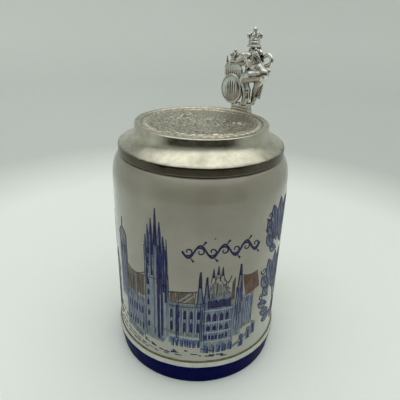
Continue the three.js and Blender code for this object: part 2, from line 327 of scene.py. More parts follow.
def inside(outline, u, v):
    """The distance from an outline in a plane, negative inside it."""
    distance = np.float32(1e6)
    sign = np.float32(1)
    for (ax, ay), (bx, by) in zip(outline, outline[1:] + outline[:1]):
        ex, ey = bx - ax, by - ay
        wx, wy = u - ax, v - ay
        share = np.clip((wx * ex + wy * ey) / (ex * ex + ey * ey), 0, 1)
        distance = np.minimum(distance, (wx - ex * share) ** 2 + (wy - ey * share) ** 2)
        above_a, above_b = v >= ay, v < by
        left = ex * wy > ey * wx
        crosses = (above_a & above_b & left) | (~above_a & ~above_b & ~left)
        sign = np.where(crosses, -sign, sign)
    return sign * np.sqrt(distance)


# ---- Materials ----
class Surface:
    """A Principled material and short ways to add nodes to it."""

    def __init__(self, name, **settings):
        self.material = bpy.data.materials.new(name)
        self.material.use_nodes = True
        self.tree = self.material.node_tree
        self.shader = self.tree.nodes["Principled BSDF"]
        self.place = self.node("ShaderNodeTexCoord").node.outputs["Object"]
        for key, value in settings.items():
            self.shader.inputs[key.replace("_", " ")].default_value = value

    def node(self, kind, inputs=None, **settings):
        made = self.tree.nodes.new(kind)
        for key, value in settings.items():
            setattr(made, key, value)
        for key, value in (inputs or {}).items():
            self.set(made.inputs[key], value)
        return made.outputs[0]

    def set(self, socket, value):
        if isinstance(value, bpy.types.NodeSocket):
            self.tree.links.new(value, socket)
        else:
            socket.default_value = value

    def math(self, operation, a, b=0.0, clamp=False):
        return self.node("ShaderNodeMath", {0: a, 1: b}, operation=operation, use_clamp=clamp)

    def noise(self, size, detail=3.0, stretch=(1, 1, 1), roughness=0.5):
        """Noise with features of about size millimetres, shorter along an axis with a bigger stretch."""
        vector = self.node(
            "ShaderNodeVectorMath", {0: self.place, 1: stretch}, operation="MULTIPLY"
        )
        values = {"Vector": vector, "Scale": 1 / (size * MM), "Detail": detail, "Roughness": roughness}
        return self.node("ShaderNodeTexNoise", values)

    def ramp(self, factor, *stops):
        """Colours or greys against a factor. A stop is (place, colour) or (place, grey)."""
        output = self.node("ShaderNodeValToRGB", {"Fac": factor})
        elements = output.node.color_ramp.elements
        while len(elements) < len(stops):
            elements.new(0.5)
        for element, (position, value) in zip(elements, stops):
            element.position = position
            element.color = (*value, 1) if isinstance(value, tuple) else (value, value, value, 1)
        return output

    def mix(self, factor, a, b, blend="MIX"):
        made = self.tree.nodes.new("ShaderNodeMix")
        made.data_type, made.blend_type = "RGBA", blend
        for key, value in (("Factor_Float", factor), ("A_Color", a), ("B_Color", b)):
            socket = next(s for s in made.inputs if s.identifier == key)
            self.set(socket, (*value, 1) if isinstance(value, tuple) else value)
        return next(s for s in made.outputs if s.identifier == "Result_Color")

    def height(self):
        """The height of a place, in millimetres."""
        split = self.node("ShaderNodeSeparateXYZ", {0: self.place})
        return self.math("MULTIPLY", split.node.outputs["Z"], 1 / MM)

    def radius(self):
        """The distance from the Z axis, in millimetres."""
        flat = self.node(
            "ShaderNodeVectorMath", {0: self.place, 1: (1, 1, 0)}, operation="MULTIPLY"
        )
        length = self.node("ShaderNodeVectorMath", {0: flat}, operation="LENGTH")
        return self.math("MULTIPLY", length.node.outputs["Value"], 1 / MM)

    def bump(self, height, strength, distance=0.1):
        """Bumps whose depth is distance, in millimetres."""
        values = {"Height": height, "Strength": strength, "Distance": distance * MM}
        made = self.node("ShaderNodeBump", values)
        previous = self.shader.inputs["Normal"]
        if previous.is_linked:
            self.tree.links.new(previous.links[0].from_socket, made.node.inputs["Normal"])
        self.set(previous, made)

    def color(self, value):
        self.set(self.shader.inputs["Base Color"], value)

    def roughness(self, value):
        self.set(self.shader.inputs["Roughness"], value)


STONE_LIGHT, STONE_DARK = (0.29, 0.27, 0.215), (0.235, 0.215, 0.17)
NAVY = (0.002, 0.004, 0.06)
COBALT = (0.009, 0.035, 0.18)


def stone_color(surface):
    """The grey salt glaze: cloudy, paler towards the foot, with a few iron specks."""
    clouds = surface.ramp(surface.noise(22, 4), (0.35, STONE_DARK), (0.65, STONE_LIGHT))
    share = surface.math("DIVIDE", surface.height(), RIM_Z)
    low = surface.ramp(share, (0.15, 0.55), (0.5, 0.0))
    clouds = surface.mix(low, clouds, (0.40, 0.41, 0.36))
    specks = surface.ramp(surface.noise(1.3, 2), (0.74, 0.0), (0.80, 1.0))
    return surface.mix(specks, clouds, (0.12, 0.10, 0.07))


def glaze_finish(surface):
    """Salt glaze: an even gloss over a fine orange-peel skin and faint throwing rings."""
    surface.roughness(surface.ramp(surface.noise(6, 3), (0.3, 0.30), (0.7, 0.42)))
    surface.bump(surface.noise(1.1, 2), 0.25, 0.05)
    surface.bump(surface.noise(9, 2, stretch=(0.15, 0.15, 2.2)), 0.35, 0.12)


def glaze(name, paint=None, cover=(0.3, 0.7), size=3.0, stretch=(1, 1, 0.35), shine=0.15):
    """Salt glaze, bare or under a paint. The paint covers it unevenly, between the two shares."""
    surface = Surface(name, Specular_IOR_Level=shine if paint else 0.5)
    stone = stone_color(surface)
    if paint:
        patchy = surface.ramp(surface.noise(size, 4, stretch), (0.35, cover[0]), (0.65, cover[1]))
        stone = surface.mix(patchy, stone, paint)
    else:
        surface.shader.inputs["Coat Weight"].default_value = 0.9
        surface.shader.inputs["Coat Roughness"].default_value = 0.15
    surface.color(stone)
    glaze_finish(surface)
    return surface.material


def pewter(name, light=(0.63, 0.60, 0.49), dark=(0.22, 0.20, 0.15), hollow_shade=0.0, rough=0.15,
           turned=False, engraved=False):
    """Cast pewter. Turned pieces have fine rings and a browned edge. Pieces given a hollow shade get painted
    shade in their hollows and crevices.
    """
    surface = Surface(name, Metallic=1.0)
    tarnish = surface.ramp(surface.noise(7, 5, roughness=0.6), (0.38, 0.0), (0.75, 0.55))
    color = surface.mix(tarnish, light, dark)
    if hollow_shade:
        # Painted shade: hollows (low pointiness) and crevices (ambient occlusion) are darkened almost to
        # black.
        point = surface.node("ShaderNodeNewGeometry").node.outputs["Pointiness"]
        hollow = surface.ramp(point, (0.5 - hollow_shade, 1.0), (0.505, 0.0))
        open_share = surface.node("ShaderNodeAmbientOcclusion", {"Distance": 2 * MM}, samples=8)
        shaded = surface.ramp(open_share.node.outputs["AO"], (0.40, 1.0), (0.92, 0.0))
        color = surface.mix(surface.math("MAXIMUM", hollow, shaded), color, (0.03, 0.028, 0.024))
    if engraved:
        fine = surface.noise(1.0, 3, roughness=0.7)
        field = surface.ramp(surface.math("DIVIDE", surface.radius(), PLATE_R), (0.80, 1.0), (0.83, 0.45))
        lines = surface.math("MULTIPLY", surface.ramp(fine, (0.44, 0.85), (0.52, 0.0)), field)
        color = surface.mix(lines, color, (0.10, 0.09, 0.07))
        surface.bump(fine, 0.5, 0.15)
    if turned:
        ragged = surface.math("ADD", surface.height(), surface.math("MULTIPLY", surface.noise(5, 3), 0.8))
        share = surface.math("DIVIDE", surface.math("SUBTRACT", ragged, LID_BOTTOM), 10)
        outer = surface.ramp(surface.math("DIVIDE", surface.radius(), LID_R), (0.955, 0.0), (0.97, 0.9))
        brown = surface.math("MULTIPLY", surface.ramp(share, (0.46, 1.0), (0.54, 0.0)), outer)
        color = surface.mix(brown, color, (0.06, 0.045, 0.03))
    surface.color(color)
    surface.roughness(surface.ramp(surface.noise(3, 4), (0.3, rough), (0.7, rough + 0.13)))
    if turned:
        rings = surface.node("ShaderNodeCombineXYZ", {0: surface.radius(), 1: surface.height()})
        fine = surface.node("ShaderNodeTexNoise", {"Vector": rings, "Scale": 3.0, "Detail": 2.0})
        surface.bump(fine, 0.35, 0.03)
        pits = surface.ramp(surface.noise(1.6, 2), (0.22, 0.0), (0.30, 1.0))
        surface.bump(pits, 0.6, 0.12)
    surface.bump(surface.noise(1.2, 3), 0.25, 0.04)
    surface.bump(surface.noise(12, 2), 0.3, 0.15)
    return surface.material


def make_materials():
    return SimpleNamespace(
        stone=glaze("salt_glaze"),
        foot_blue=glaze("foot_band_blue", (0.001, 0.002, 0.05), (0.998, 1.0), shine=0.01),
        # Painted highlight: the bead is glazed paler than the stone to stand for the sky's reflection along
        # its ridge.
        bead_highlight=glaze("bead_painted_highlight", (0.50, 0.51, 0.47), (0.6, 0.95), shine=0.5),
        ochre=glaze("ochre_line", (0.10, 0.085, 0.03), (0.75, 0.98)),
        navy=glaze("navy_line", NAVY, (0.88, 1.0), 1.6),
        cobalt=glaze("cobalt_fill", COBALT, (0.55, 0.98), 1.8),
        wash=glaze("blue_wash", (0.045, 0.105, 0.2), (0.35, 0.82), 2.2),
        umber=glaze("brown_fill", (0.075, 0.048, 0.024), (0.6, 0.95), 2.5),
        moss=glaze("green_fill", (0.055, 0.095, 0.06), (0.4, 0.85), 1.5),
        rust=glaze("red_fill", (0.10, 0.035, 0.02), (0.65, 0.95), 2.5),
        leaf=glaze("leaf_wash", (0.065, 0.11, 0.205), (0.5, 0.88), 2.5),
        pale=glaze("pale_line", (0.30, 0.34, 0.42), (0.5, 0.9), 1.5),
        ink=glaze("grey_line", (0.03, 0.035, 0.045), (0.7, 0.98), 1.5),
        pewter_turned=pewter("pewter_turned", turned=True),
        pewter_cast=pewter("pewter_cast"),
        pewter_relief=pewter(
            "pewter_relief", (0.72, 0.675, 0.55), (0.40, 0.365, 0.29), 0.06, 0.30, engraved=True
        ),
        pewter_lift=pewter("pewter_lift", (0.78, 0.77, 0.72), hollow_shade=0.05, rough=0.10),
        steel=pewter("steel", (0.62, 0.62, 0.62), (0.3, 0.3, 0.3)),
    )


# ---- Stoneware ----
def vessel_outside():
    """The wall's outline from the edge of the base up to the rim, with a point at each paint edge."""
    edge = FOOT_R - 2.8
    ridge = bend((FOOT_R - 0.2, 11), (FOOT_R + 0.3, 13.4), (WALL_R + 0.7, BEAD_TOP), 8)
    foot = bend((edge, 0), (edge + 0.9, 0), (edge + 1.0, 0.9), 4)
    foot += bend((edge + 1.4, 4), (edge + 2.0, 7.5), (FOOT_R - 0.2, 11), 5)[:-1]
    groove = bend((WALL_R + 0.7, BEAD_TOP), (WALL_R + 0.1, 15.6), (WALL_R, OCHRE_TOP), 4)
    wall = [(WALL_R, z) for z in np.linspace(18, SHOULDER_Z, 12)]
    shoulder = bend((WALL_R, SHOULDER_Z), (WALL_R, SHOULDER_Z + 9), (43.2, RIM_Z - 1.2), 14)
    lip = bend((43.2, RIM_Z - 1.2), (42.4, RIM_Z), (41.4, RIM_Z), 5)
    return foot + ridge + groove[1:] + wall + shoulder[1:] + lip[1:]


def vessel_inside():
    """The inside's outline from the rim down to the middle of the floor."""
    lip = bend((39.2, RIM_Z), (MOUTH_R, RIM_Z), (MOUTH_R, RIM_Z - 1.2), 5)
    neck = bend((MOUTH_R, RIM_Z - 3.3), (INNER_R, 111), (INNER_R, SHOULDER_Z), 8)
    wall = [(INNER_R, z) for z in (80, 50, 25)]
    corner = bend((INNER_R, 15), (INNER_R, FLOOR_Z), (INNER_R - 7, FLOOR_Z), 8)
    return lip + neck + wall + corner + [(0, FLOOR_Z)]


def paint_edge(angle, radius, height):
    """The brushed edges of the foot's bands wander a little."""
    if radius < WALL_R - 1.5 or not 9 < height < 17:
        return 0
    return 0.1 * math.sin(5 * angle + 1) + 0.06 * math.sin(13 * angle) + 0.04 * math.sin(29 * angle)


def make_vessel(paints):
    outside = vessel_outside()
    profile = [(0, 0.4), (BASE_RING_R, 0.4), (BASE_RING_R, 0)] + outside + vessel_inside()
    points, faces, bands = lathe(profile, 192, paint_edge)
    slots = []
    for band in bands:
        (r0, z0), (r1, z1) = profile[band], profile[band + 1]
        middle, outer = (z0 + z1) / 2, min(r0, r1) > FOOT_R - 4
        # Slots 1 to 3 are the foot's bands, and what lies above them or inside is bare stone, slot 0. Slot 2,
        # the bead, is coloured paler as a painted highlight.
        edges_below = [edge for edge in (0, BLUE_TOP, BEAD_TOP, OCHRE_TOP) if edge < middle]
        slots.append(len(edges_below) % 4 if outer else 0)
    materials = [paints.stone, paints.foot_blue, paints.bead_highlight, paints.ochre]
    piece = mesh_piece("vessel", points, faces, materials, slots)
    place(piece, VESSEL, "stoneware", "mug_body")


def handle_section():
    """The handle's oval section as (across, in-plane) pairs."""
    count, power = 48, 2 / HANDLE_SQUARENESS
    section = []
    for i in range(count):
        angle = 2 * math.pi * i / count
        c, s = math.cos(angle), math.sin(angle)
        across = HANDLE_HALF_WIDTH * math.copysign(abs(c) ** power, c)
        section.append((across, HANDLE_HALF_THICK * math.copysign(abs(s) ** power, s)))
    return section


def make_handle(paints):
    start, middle = WALL_R - 3, (HANDLE_TOP + HANDLE_BOTTOM) / 2
    reach = HANDLE_REACH
    path = smooth_path(
        [
            (start, HANDLE_TOP - 0.2), (start + 9, HANDLE_TOP), (start + 18, HANDLE_TOP),
            (reach - 6, HANDLE_TOP - 5.5), (reach - 1.2, middle + 18), (reach, middle + 4),
            (reach - 4, middle - 10), (reach - 12, middle - 21.5), (reach - 22.5, HANDLE_BOTTOM + 3.6),
            (start, HANDLE_BOTTOM),
        ]
    )
    section = handle_section()
    points, faces = [], []
    for i, (x, z) in enumerate(path):
        ahead = path[min(i + 1, len(path) - 1)] - path[max(i - 1, 0)]
        along = ahead / np.linalg.norm(ahead)
        from_wall = min(np.linalg.norm(path[i] - path[0]), np.linalg.norm(path[i] - path[-1])) - 3
        flare = 1 + 0.3 * math.exp(-((max(from_wall, 0) / 3.2) ** 2))
        for across, inward in section:
            points.append((x - along[1] * inward * flare, across * flare, z + along[0] * inward * flare))
    count = len(section)
    for ring in range(len(path) - 1):
        for i in range(count):
            j = (i + 1) % count
            low, high = ring * count, (ring + 1) * count
            faces.append((low + i, low + j, high + j, high + i))
    faces.append(tuple(range(count))[::-1])
    faces.append(tuple(len(points) - count + i for i in range(count)))
    piece = mesh_piece("handle_loop", points, faces, [paints.stone], sharp=50)
    place(piece, VESSEL, "stoneware", "handle")


# ---- Painting on the wall ----
HAND = random.Random(0)  # the painter's hand, seeded anew by each part of the scene
SHAKE = 0.12


class Glaze:
    """One colour, laid on the wall as thin closed patches. Places are (s, z)."""

    def __init__(self, name, material, height):
        self.name, self.material, self.height = name, material, height
        self.points, self.faces = [], []

    def area(self, outline):
        start = len(self.points)
        self.points += outline
        self.faces.append(list(range(start, start + len(outline))))

    def stroke(self, route, width, end_width=None):
        """A brush line along a route, which thins to end_width."""
        route = [np.array(p, dtype=float) for p in route]
        widths = np.linspace(width, width if end_width is None else end_width, len(route))
        start = len(self.points)
        for i, (point, wide) in enumerate(zip(route, widths)):
            ahead = route[min(i + 1, len(route) - 1)] - route[max(i - 1, 0)]
            side = np.array([-ahead[1], ahead[0]]) / np.linalg.norm(ahead) * wide / 2
            self.points += [tuple(point + side), tuple(point - side)]
        for i in range(start, start + 2 * len(route) - 2, 2):
            self.faces.append([i + 1, i + 3, i + 2, i])

    def drawn(self, start, end, width, end_width=None):
        """A straight line as a hand draws it."""
        (s0, z0), (s1, z1) = start, end
        count = max(2, int(math.hypot(s1 - s0, z1 - z0) / 5) + 1)
        route = []
        for t in np.linspace(0, 1, count + 1):
            s = s0 + (s1 - s0) * t + HAND.uniform(-SHAKE, SHAKE)
            route.append((s, z0 + (z1 - z0) * t + HAND.uniform(-SHAKE, SHAKE)))
        self.stroke(route, width, end_width)

    def hatch(self, left, right, low, high, gap, width):
        """Upright brush lines of uneven length that fill a space."""
        s = left
        while s < right:
            bottom = low + HAND.uniform(0, 0.18) * (high - low)
            top = high - HAND.uniform(0, 0.25) * (high - low)
            self.drawn((s, bottom), (s, top), width * HAND.uniform(0.7, 1.3))
            s += gap * HAND.uniform(0.7, 1.3)

    def windows(self, left, right, count, low, high, width, pointed=True):
        pitch = (right - left) / count
        for i in range(count):
            s = left + (i + 0.5) * pitch + HAND.uniform(-0.15, 0.15)
            self.area(arch(s - width / 2, low + HAND.uniform(-0.3, 0.3), s + width / 2, high, pointed))

    def piece(self):
        """Cuts the patches into strips that bend round the wall, and gives them their thickness."""
        flat = bmesh.new()
        corners = [flat.verts.new((s, z, 0)) for s, z in self.points]
        for face in self.faces:
            flat.faces.new([corners[i] for i in face])
        bmesh.ops.triangulate(flat, faces=flat.faces, ngon_method="EAR_CLIP")
        low, high = min(s for s, _ in self.points), max(s for s, _ in self.points)
        for cut in np.arange(low, high, 2.2)[1:]:
            everything = flat.verts[:] + flat.edges[:] + flat.faces[:]
            bmesh.ops.bisect_plane(flat, geom=everything, plane_co=(cut, 0, 0), plane_no=(1, 0, 0))
        flat.verts.index_update()
        spots = [(vert.co.x, vert.co.y) for vert in flat.verts]
        count = len(spots)
        points = [on_wall(s, z, self.height) for s, z in spots] + [on_wall(s, z, -0.1) for s, z in spots]
        faces = []
        for face in flat.faces:
            around = [vert.index for vert in face.verts]
            if face.normal.z < 0:
                around.reverse()
            faces += [around, [i + count for i in reversed(around)]]
        outer = set()
        for around in faces[::2]:
            outer |= set(zip(around, around[1:] + around[:1]))
        faces += [[b, a, a + count, b + count] for a, b in outer if (b, a) not in outer]
        flat.free()
        piece = mesh_piece(self.name, points, faces, [self.material], sharp=40)
        return place(piece, VESSEL, "stoneware")


def on_wall(s, z, height):
    """A place on the wall, at a height above its glaze."""
    angle = CAMERA_AZIMUTH + s / WALL_R
    return (WALL_R + height) * math.cos(angle), (WALL_R + height) * math.sin(angle), z


def block(left, low, right, high):
    return [(left, low), (right, low), (right, high), (left, high)]


def arch(left, low, right, high, pointed=False):
    """A window's outline, with a round or a pointed head."""
    middle, half = (left + right) / 2, (right - left) / 2
    sill = [(left, low), (right, low)]
    if pointed:
        eaves = high - 1.6 * half
        return sill + [(right, eaves), (middle, high), (left, eaves)]
    turns = np.linspace(0, math.pi, 7)
    return sill + [(middle + half * math.cos(a), high - half + half * math.sin(a)) for a in turns]


def spire(paints, s, half, low, tip, heavy=0.35):
    """A thin pointed turret: two leaning lines, a wash between them and a heavy tip."""
    paints.wash.area([(s - half, low), (s + half, low), (s + 0.1, tip - 1), (s - 0.1, tip - 1)])
    paints.navy.drawn((s - half, low), (s - 0.15, tip), 0.5)
    paints.navy.drawn((s + half, low), (s + 0.15, tip), 0.5)
    body = tip - (tip - low) * heavy
    paints.navy.stroke([(s, body), (s, tip)], 1.25, 0.5)


def great_tower(paints):
    """A tall tower of bundled shafts, with a spire and a crowd of pinnacles."""
    HAND.seed(21)
    paints.wash.area(
        [
            (-27.4, 26), (-17.2, 25.5), (-14.2, 31), (-13.6, 57), (-14.1, 76), (-14.4, 82), (-17.6, 84),
            (-22, 86), (-24.4, 83), (-27.2, 80), (-27.5, 70),
        ]
    )
    for shaft in ((-20.6, 62, -15.0, 83), (-20.2, 27, -17.2, 62), (-23.8, 76, -19.4, 85)):
        paints.cobalt.area(block(*shaft))
    paints.navy.area([(-21.9, 84), (-19.5, 84), (-20.3, 103), (-20.8, 103)])
    pinnacles = [
        (-23, 80, 97.5, 2.3), (-24.9, 78, 93.8, 1.9), (-26.4, 76, 88, 1.6), (-18.4, 80, 96.5, 2.3),
        (-16.6, 78, 89.5, 1.9), (-14.9, 66, 88, 0.7),
    ]
    for s, low, tip, width in pinnacles:
        eaves = low + 0.55 * (tip - low)
        paints.wash.stroke([(s, low), (s, eaves)], width)
        paints.cobalt.stroke([(s, eaves - 1), (s, tip)], width, 0.3)
        paints.navy.stroke([(s + 0.4, low), (s + 0.2, eaves), (s, tip)], 0.5 * width, 0.4)
    lines = [
        (-27.3, 27, 82, 0.55), (-26.1, 60, 84, 0.7), (-24.9, 71, 84, 0.6), (-23.1, 66, 84, 0.9),
        (-21.9, 30, 84, 0.45), (-19.5, 28, 84, 1.4), (-18.7, 56, 84, 1.0), (-17.5, 30, 82, 1.1),
        (-16.4, 58, 82, 0.8), (-15.3, 52, 82, 1.1), (-14.1, 56, 69, 0.5), (-18.4, 60, 80, 1.5),
    ]
    for s, low, high, width in lines:
        middle = low + 0.7 * (high - low)
        paints.navy.stroke([(s, low), (s + 0.1, middle), (s, high)], width, width * 0.45)
    for low in (33, 40.5, 47, 53.5, 60):
        paints.navy.windows(-26.6, -24.2, 1, low, low + 4, 1.3)
    for low in (66.5, 72.5, 78):
        paints.navy.windows(-26.4, -21.6, 2, low, low + 3.6, 0.9)
    for z in (64.5, 83.5):
        paints.ink.drawn((-27.4, z), (-14.4, z + 0.5), 0.45)
    paints.navy.drawn((-20.2, 63.5), (-15, 61.5), 1.5)
    paints.pale.hatch(-27, -15, 28, 84, 0.95, 0.3)


def domed_tower(paints, s, half, low, high):
    HAND.seed(4)
    turns = np.linspace(0, math.pi, 9)
    dome = [(s + half * math.cos(a), high - half * 1.2 + half * 1.2 * math.sin(a)) for a in turns]
    paints.wash.area([(s - half, low), (s + half, low)] + dome)
    paints.cobalt.hatch(s - half + 0.8, s + half - 0.4, low, high - 2, 1.9, 0.7)
    paints.ink.stroke([(s + half, low + 8)] + dome, 0.7)
    paints.navy.drawn((s, high), (s, high + 6), 0.7, 0.3)
    paints.navy.windows(s - half, s + half, 2, high - 14, high - 9, 1.2, pointed=False)


def left_houses(paints):
    HAND.seed(8)
    paints.wash.area([(-43.5, 26), (-28, 24.5), (-28, 50), (-43.5, 50)])
    paints.umber.area([(-41, 50.5), (-35.4, 50.5), (-35.4, 62.4), (-41.2, 63.6)])
    paints.umber.area([(-33.4, 51.5), (-28, 51.5), (-28, 64.5), (-33.4, 63)])
    paints.wash.area([(-35.4, 48), (-33.4, 48), (-33.4, 63), (-35.4, 62.4)])
    paints.ink.stroke([(-41.8, 65), (-38, 63.8), (-34.3, 62.9), (-31, 64), (-27.6, 66)], 0.6)
    paints.ink.hatch(-40.6, -28, 46, 63, 1.8, 0.4)
    paints.cobalt.hatch(-42.6, -28, 27, 50, 1.5, 0.75)
    paints.wash.hatch(-43.4, -28, 23, 40, 1.1, 0.6)
    paints.pale.hatch(-43, -28.4, 27, 50, 1.4, 0.32)
    for low, high in ((39, 44), (29.5, 33.5)):
        paints.navy.windows(-41.5, -28.6, 6, low, high, 0.85)
    for _ in range(14):
        s = HAND.uniform(-43, -28)
        paints.moss.stroke([(s, 24.5), (s + HAND.uniform(-1, 1), 27)], 1.5, 0.4)


def middle_houses(paints):
    HAND.seed(13)
    paints.wash.area(block(-14, 27, 3, 53))
    paints.ink.drawn((-13.9, 59.2), (0.4, 61), 0.8)
    for left, right in ((53.6, 53.8), (51.2, 51.6)):
        paints.ink.drawn((-13.5, left), (2.6, right), 0.45)
    paints.umber.area([(-13.6, 53.8), (-10, 53.8), (-10.4, 59.4), (-13.2, 59)])
    paints.umber.area([(-9.4, 54), (-0.6, 54), (-1.4, 60.4), (-9.4, 60)])
    paints.rust.area([(-12.4, 54.2), (-10.6, 54.2), (-11, 58)])
    for left, right in ((-9.6, -2), (-6.4, 0.6)):
        paints.pale.drawn((left, 53.8), ((left + right) / 2 + 3.2, 60), 0.5)
    for s in (-10, -8.8, -0.8, 0.4):
        paints.ink.drawn((s, 53), (s + 0.5, 60.3), 0.45)
    for low, high in ((44, 49.5), (35.5, 42)):
        paints.navy.windows(-14, 2.8, 5, low, high, 1.5)
    paints.cobalt.hatch(-13.6, 2.6, 28, 50, 1.15, 0.42)
    paints.navy.hatch(-9.8, -8.6, 28, 58, 0.9, 0.6)
    paints.pale.hatch(-13.4, 2.4, 29, 51, 1.3, 0.3)
    paints.moss.drawn((-16.5, 34.8), (0.8, 33.6), 1.7)
    paints.pale.drawn((-13, 32.2), (2.4, 31.4), 1.3)
    paints.cobalt.windows(-13, 3, 7, 25.5, 30.4, 1.3, pointed=False)
    for s in (-11.4, -9.2, -6.6, -4, -1.2, 1.4):
        paints.navy.drawn((s, 25.2), (s, 29.8), 0.5)


def hall(paints):
    HAND.seed(17)
    paints.wash.area([(2.6, 22), (20, 22), (19.4, 57), (16.6, 60), (5.2, 60), (3, 58)])
    spire(paints, 1.7, 1.6, 52, 72.5, 0.45)
    spire(paints, 5, 1.4, 54, 69.5, 0.3)
    for s, tip in ((7.9, 74), (10.2, 75.5), (12.3, 74.7)):
        paints.navy.stroke([(s, tip - 5), (s, tip)], 0.85, 0.35)
        for side in (-1, 1):
            paints.ink.stroke([(s + 1.15 * side, tip - 8), (s, tip)], 0.4)
    paints.ink.hatch(5.6, 16.2, 56.5, 66.5, 0.72, 0.32)
    paints.pale.hatch(6, 15, 57, 65, 1.1, 0.3)
    paints.ink.stroke([(5.4, 60), (10.2, 69.5), (16.4, 59)], 0.5)
    paints.ink.stroke(smooth_path([(13.5, 68), (14.4, 66), (15.6, 65.6), (16.4, 67.2), (17, 69)], 3), 0.6)
    paints.ink.stroke(smooth_path([(13.8, 65), (15, 62.6), (16.6, 61.6)], 3), 0.6)
    paints.navy.hatch(6, 17.4, 50.6, 56.2, 0.72, 0.8)
    paints.navy.area([(6.2, 51), (17, 51.6), (17, 55), (6.2, 54.6)])
    for low, high in ((42.6, 47.8), (36.6, 40.4)):
        paints.navy.windows(4.6, 17.6, 4, low, high, 1.9)
    paints.navy.windows(4.2, 17, 7, 30.8, 34, 1.1)
    paints.cobalt.hatch(3, 19, 29, 50, 0.95, 0.4)
    paints.navy.hatch(2.2, 4.2, 28, 56, 0.85, 0.4)
    paints.pale.hatch(3, 18, 30, 50, 1.6, 0.28)
    for z in (49.4, 41.6, 35.2, 29.2):
        paints.pale.drawn((3.4, z), (18.4, z + 0.4), 0.7)
    paints.cobalt.windows(3.6, 20, 5, 21.5, 27.4, 2.1, pointed=False)
    paints.navy.windows(4.6, 21, 5, 21.5, 26, 0.8, pointed=False)
    paints.navy.drawn((3, 24.6), (9, 23), 0.5)
    paints.umber.area([(7.8 + 0.5 * math.cos(a), 90.4 + 0.6 * math.sin(a)) for a in range(6)])


def right_houses(paints):
    HAND.seed(29)
    spire(paints, 21.9, 1.5, 58, 74.5, 0.4)
    paints.wash.area([(19.6, 30), (24.4, 30), (24, 60), (20, 60)])
    paints.rust.area([(17.6, 54.5), (18.9, 54.5), (19.2, 66.6), (17.9, 65)])
    paints.ink.stroke([(17.6, 54.5), (17.9, 65), (19, 67.4), (19.1, 54.5)], 0.4)
    paints.rust.area([(25.9, 54.2), (34.6, 56.6), (32.2, 66.6), (23.4, 66.8)])
    paints.ink.stroke([(23.2, 67.6), (28, 66.4), (32.2, 67.2), (34.8, 57)], 0.5)
    paints.wash.area([(24.4, 35), (31, 37), (31.4, 52.5), (24.4, 53.5)])
    paints.cobalt.hatch(20, 31, 33, 56, 1.2, 0.6)
    paints.pale.hatch(20.4, 30.6, 34, 55, 1.5, 0.3)
    paints.navy.hatch(20.2, 23.6, 40, 66, 1.2, 0.4)
    paints.moss.stroke([(23.6, 34.6), (28, 35.4), (32, 35), (35.4, 32.4)], 1.6, 0.8)
    paints.moss.stroke([(20, 23), (26, 26), (31, 31)], 1.8, 0.8)
    for s, low in ((25.3, 21.5), (29.8, 24.5), (33.2, 26.5)):
        paints.cobalt.area(arch(s - 1.5, low - 0.5, s + 1.5, low + 8, pointed=False))
        paints.navy.drawn((s, low), (s, low + 5.5), 0.8)


def street(paints):
    """The square in front of the houses: dashes along lines that run to the left and the right."""
    HAND.seed(31)
    for _ in range(16):
        s = HAND.uniform(-17, 14)
        z = HAND.uniform(18.6, 23) if s < -2 else HAND.uniform(18.6, 20.4)
        end = (s + HAND.uniform(1.4, 4), z - HAND.uniform(0, 0.5))
        paints.navy.drawn((s, z), end, HAND.uniform(0.5, 1.1), 0.4)
    for s0, z0, s1, z1 in (
        (-62, 30, -19, 20.6), (-60, 24.5, -22, 18.6), (-62, 36, -24, 22.4), (-56, 20, -28, 18.2),
    ):
        for start in np.arange(0, 1, 0.11):
            ends = start, start + HAND.uniform(0.05, 0.1)
            a, b = [(s0 + (s1 - s0) * t, z0 + (z1 - z0) * t) for t in ends]
            brush = getattr(paints, HAND.choice(["navy", "ink", "navy", "moss"]))
            brush.drawn(a, b, HAND.uniform(0.5, 1.15), 0.4)


def far_left_houses(paints):
    """The scene goes on round the vessel: houses with stepped gables, a chapel and trees."""
    HAND.seed(41)
    edge = -95
    for width, eaves, ridge in ((11, 44, 57), (9, 52, 63), (12, 46, 60), (8, 54, 66)):
        left, right, middle = edge, edge + width, edge + width / 2
        paints.wash.area([(left, 26), (right, 26), (right, eaves), (left, eaves)])
        paints.umber.area([(left, eaves), (right, eaves), (middle, ridge)])
        for ends in (((left - 0.4, eaves), (middle, ridge)), ((middle, ridge), (right + 0.4, eaves))):
            paints.ink.drawn(*ends, 0.6)
        paints.cobalt.hatch(left + 0.8, right - 0.4, 27, eaves, 1.5, 0.5)
        for low in (29, 37):
            paints.navy.windows(left + 1, right - 1, 3, low, low + 4.6, 1.2)
        edge = right + 0.8
    paints.wash.area(block(-66, 30, -61, 66))
    paints.cobalt.hatch(-65.4, -61.4, 30, 66, 1.3, 0.6)
    paints.navy.windows(-66, -61, 2, 57, 62, 1.1)
    spire(paints, -63.5, 2.5, 66, 86, 0.4)
    for _ in range(26):
        s = HAND.uniform(-96, -52)
        paints.moss.stroke([(s, 25), (s + HAND.uniform(-1, 1), 28.5)], 1.7, 0.5)


def spiral(centre, radius, start, turns, steps=20):
    """A route that winds in to a centre. Start is its first angle, in degrees."""
    route = []
    for t in np.linspace(0, 1, steps):
        angle = math.radians(start) + turns * 2 * math.pi * t
        reach = radius * (1 - 0.82 * t)
        route.append((centre[0] + reach * math.cos(angle), centre[1] + reach * math.sin(angle)))
    return route


def flourish(paints):
    """A running scroll above the houses."""
    left, count, pitch, rise = -4.4, 7, 5.6, 3.4
    for i in range(count):
        centre = (left + i * pitch, 83.5 + 0.5 * i / count)
        up = 1 if i % 2 else -1
        paints.navy.stroke(spiral(centre, 2.7, 180, -up * 1.15), 1.0, 0.45)
        steps = np.linspace(0, 1, 9)
        arc = [(centre[0] + pitch * (t - 0.5), centre[1] + up * rise * math.sin(math.pi * t)) for t in steps]
        paints.navy.stroke(arc, 0.9)
        tick = [(centre[0] + 1, centre[1] + up * rise), (centre[0] + 2.6, centre[1] + up * (rise + 2))]
        paints.navy.stroke(tick, 0.3, 1.1)


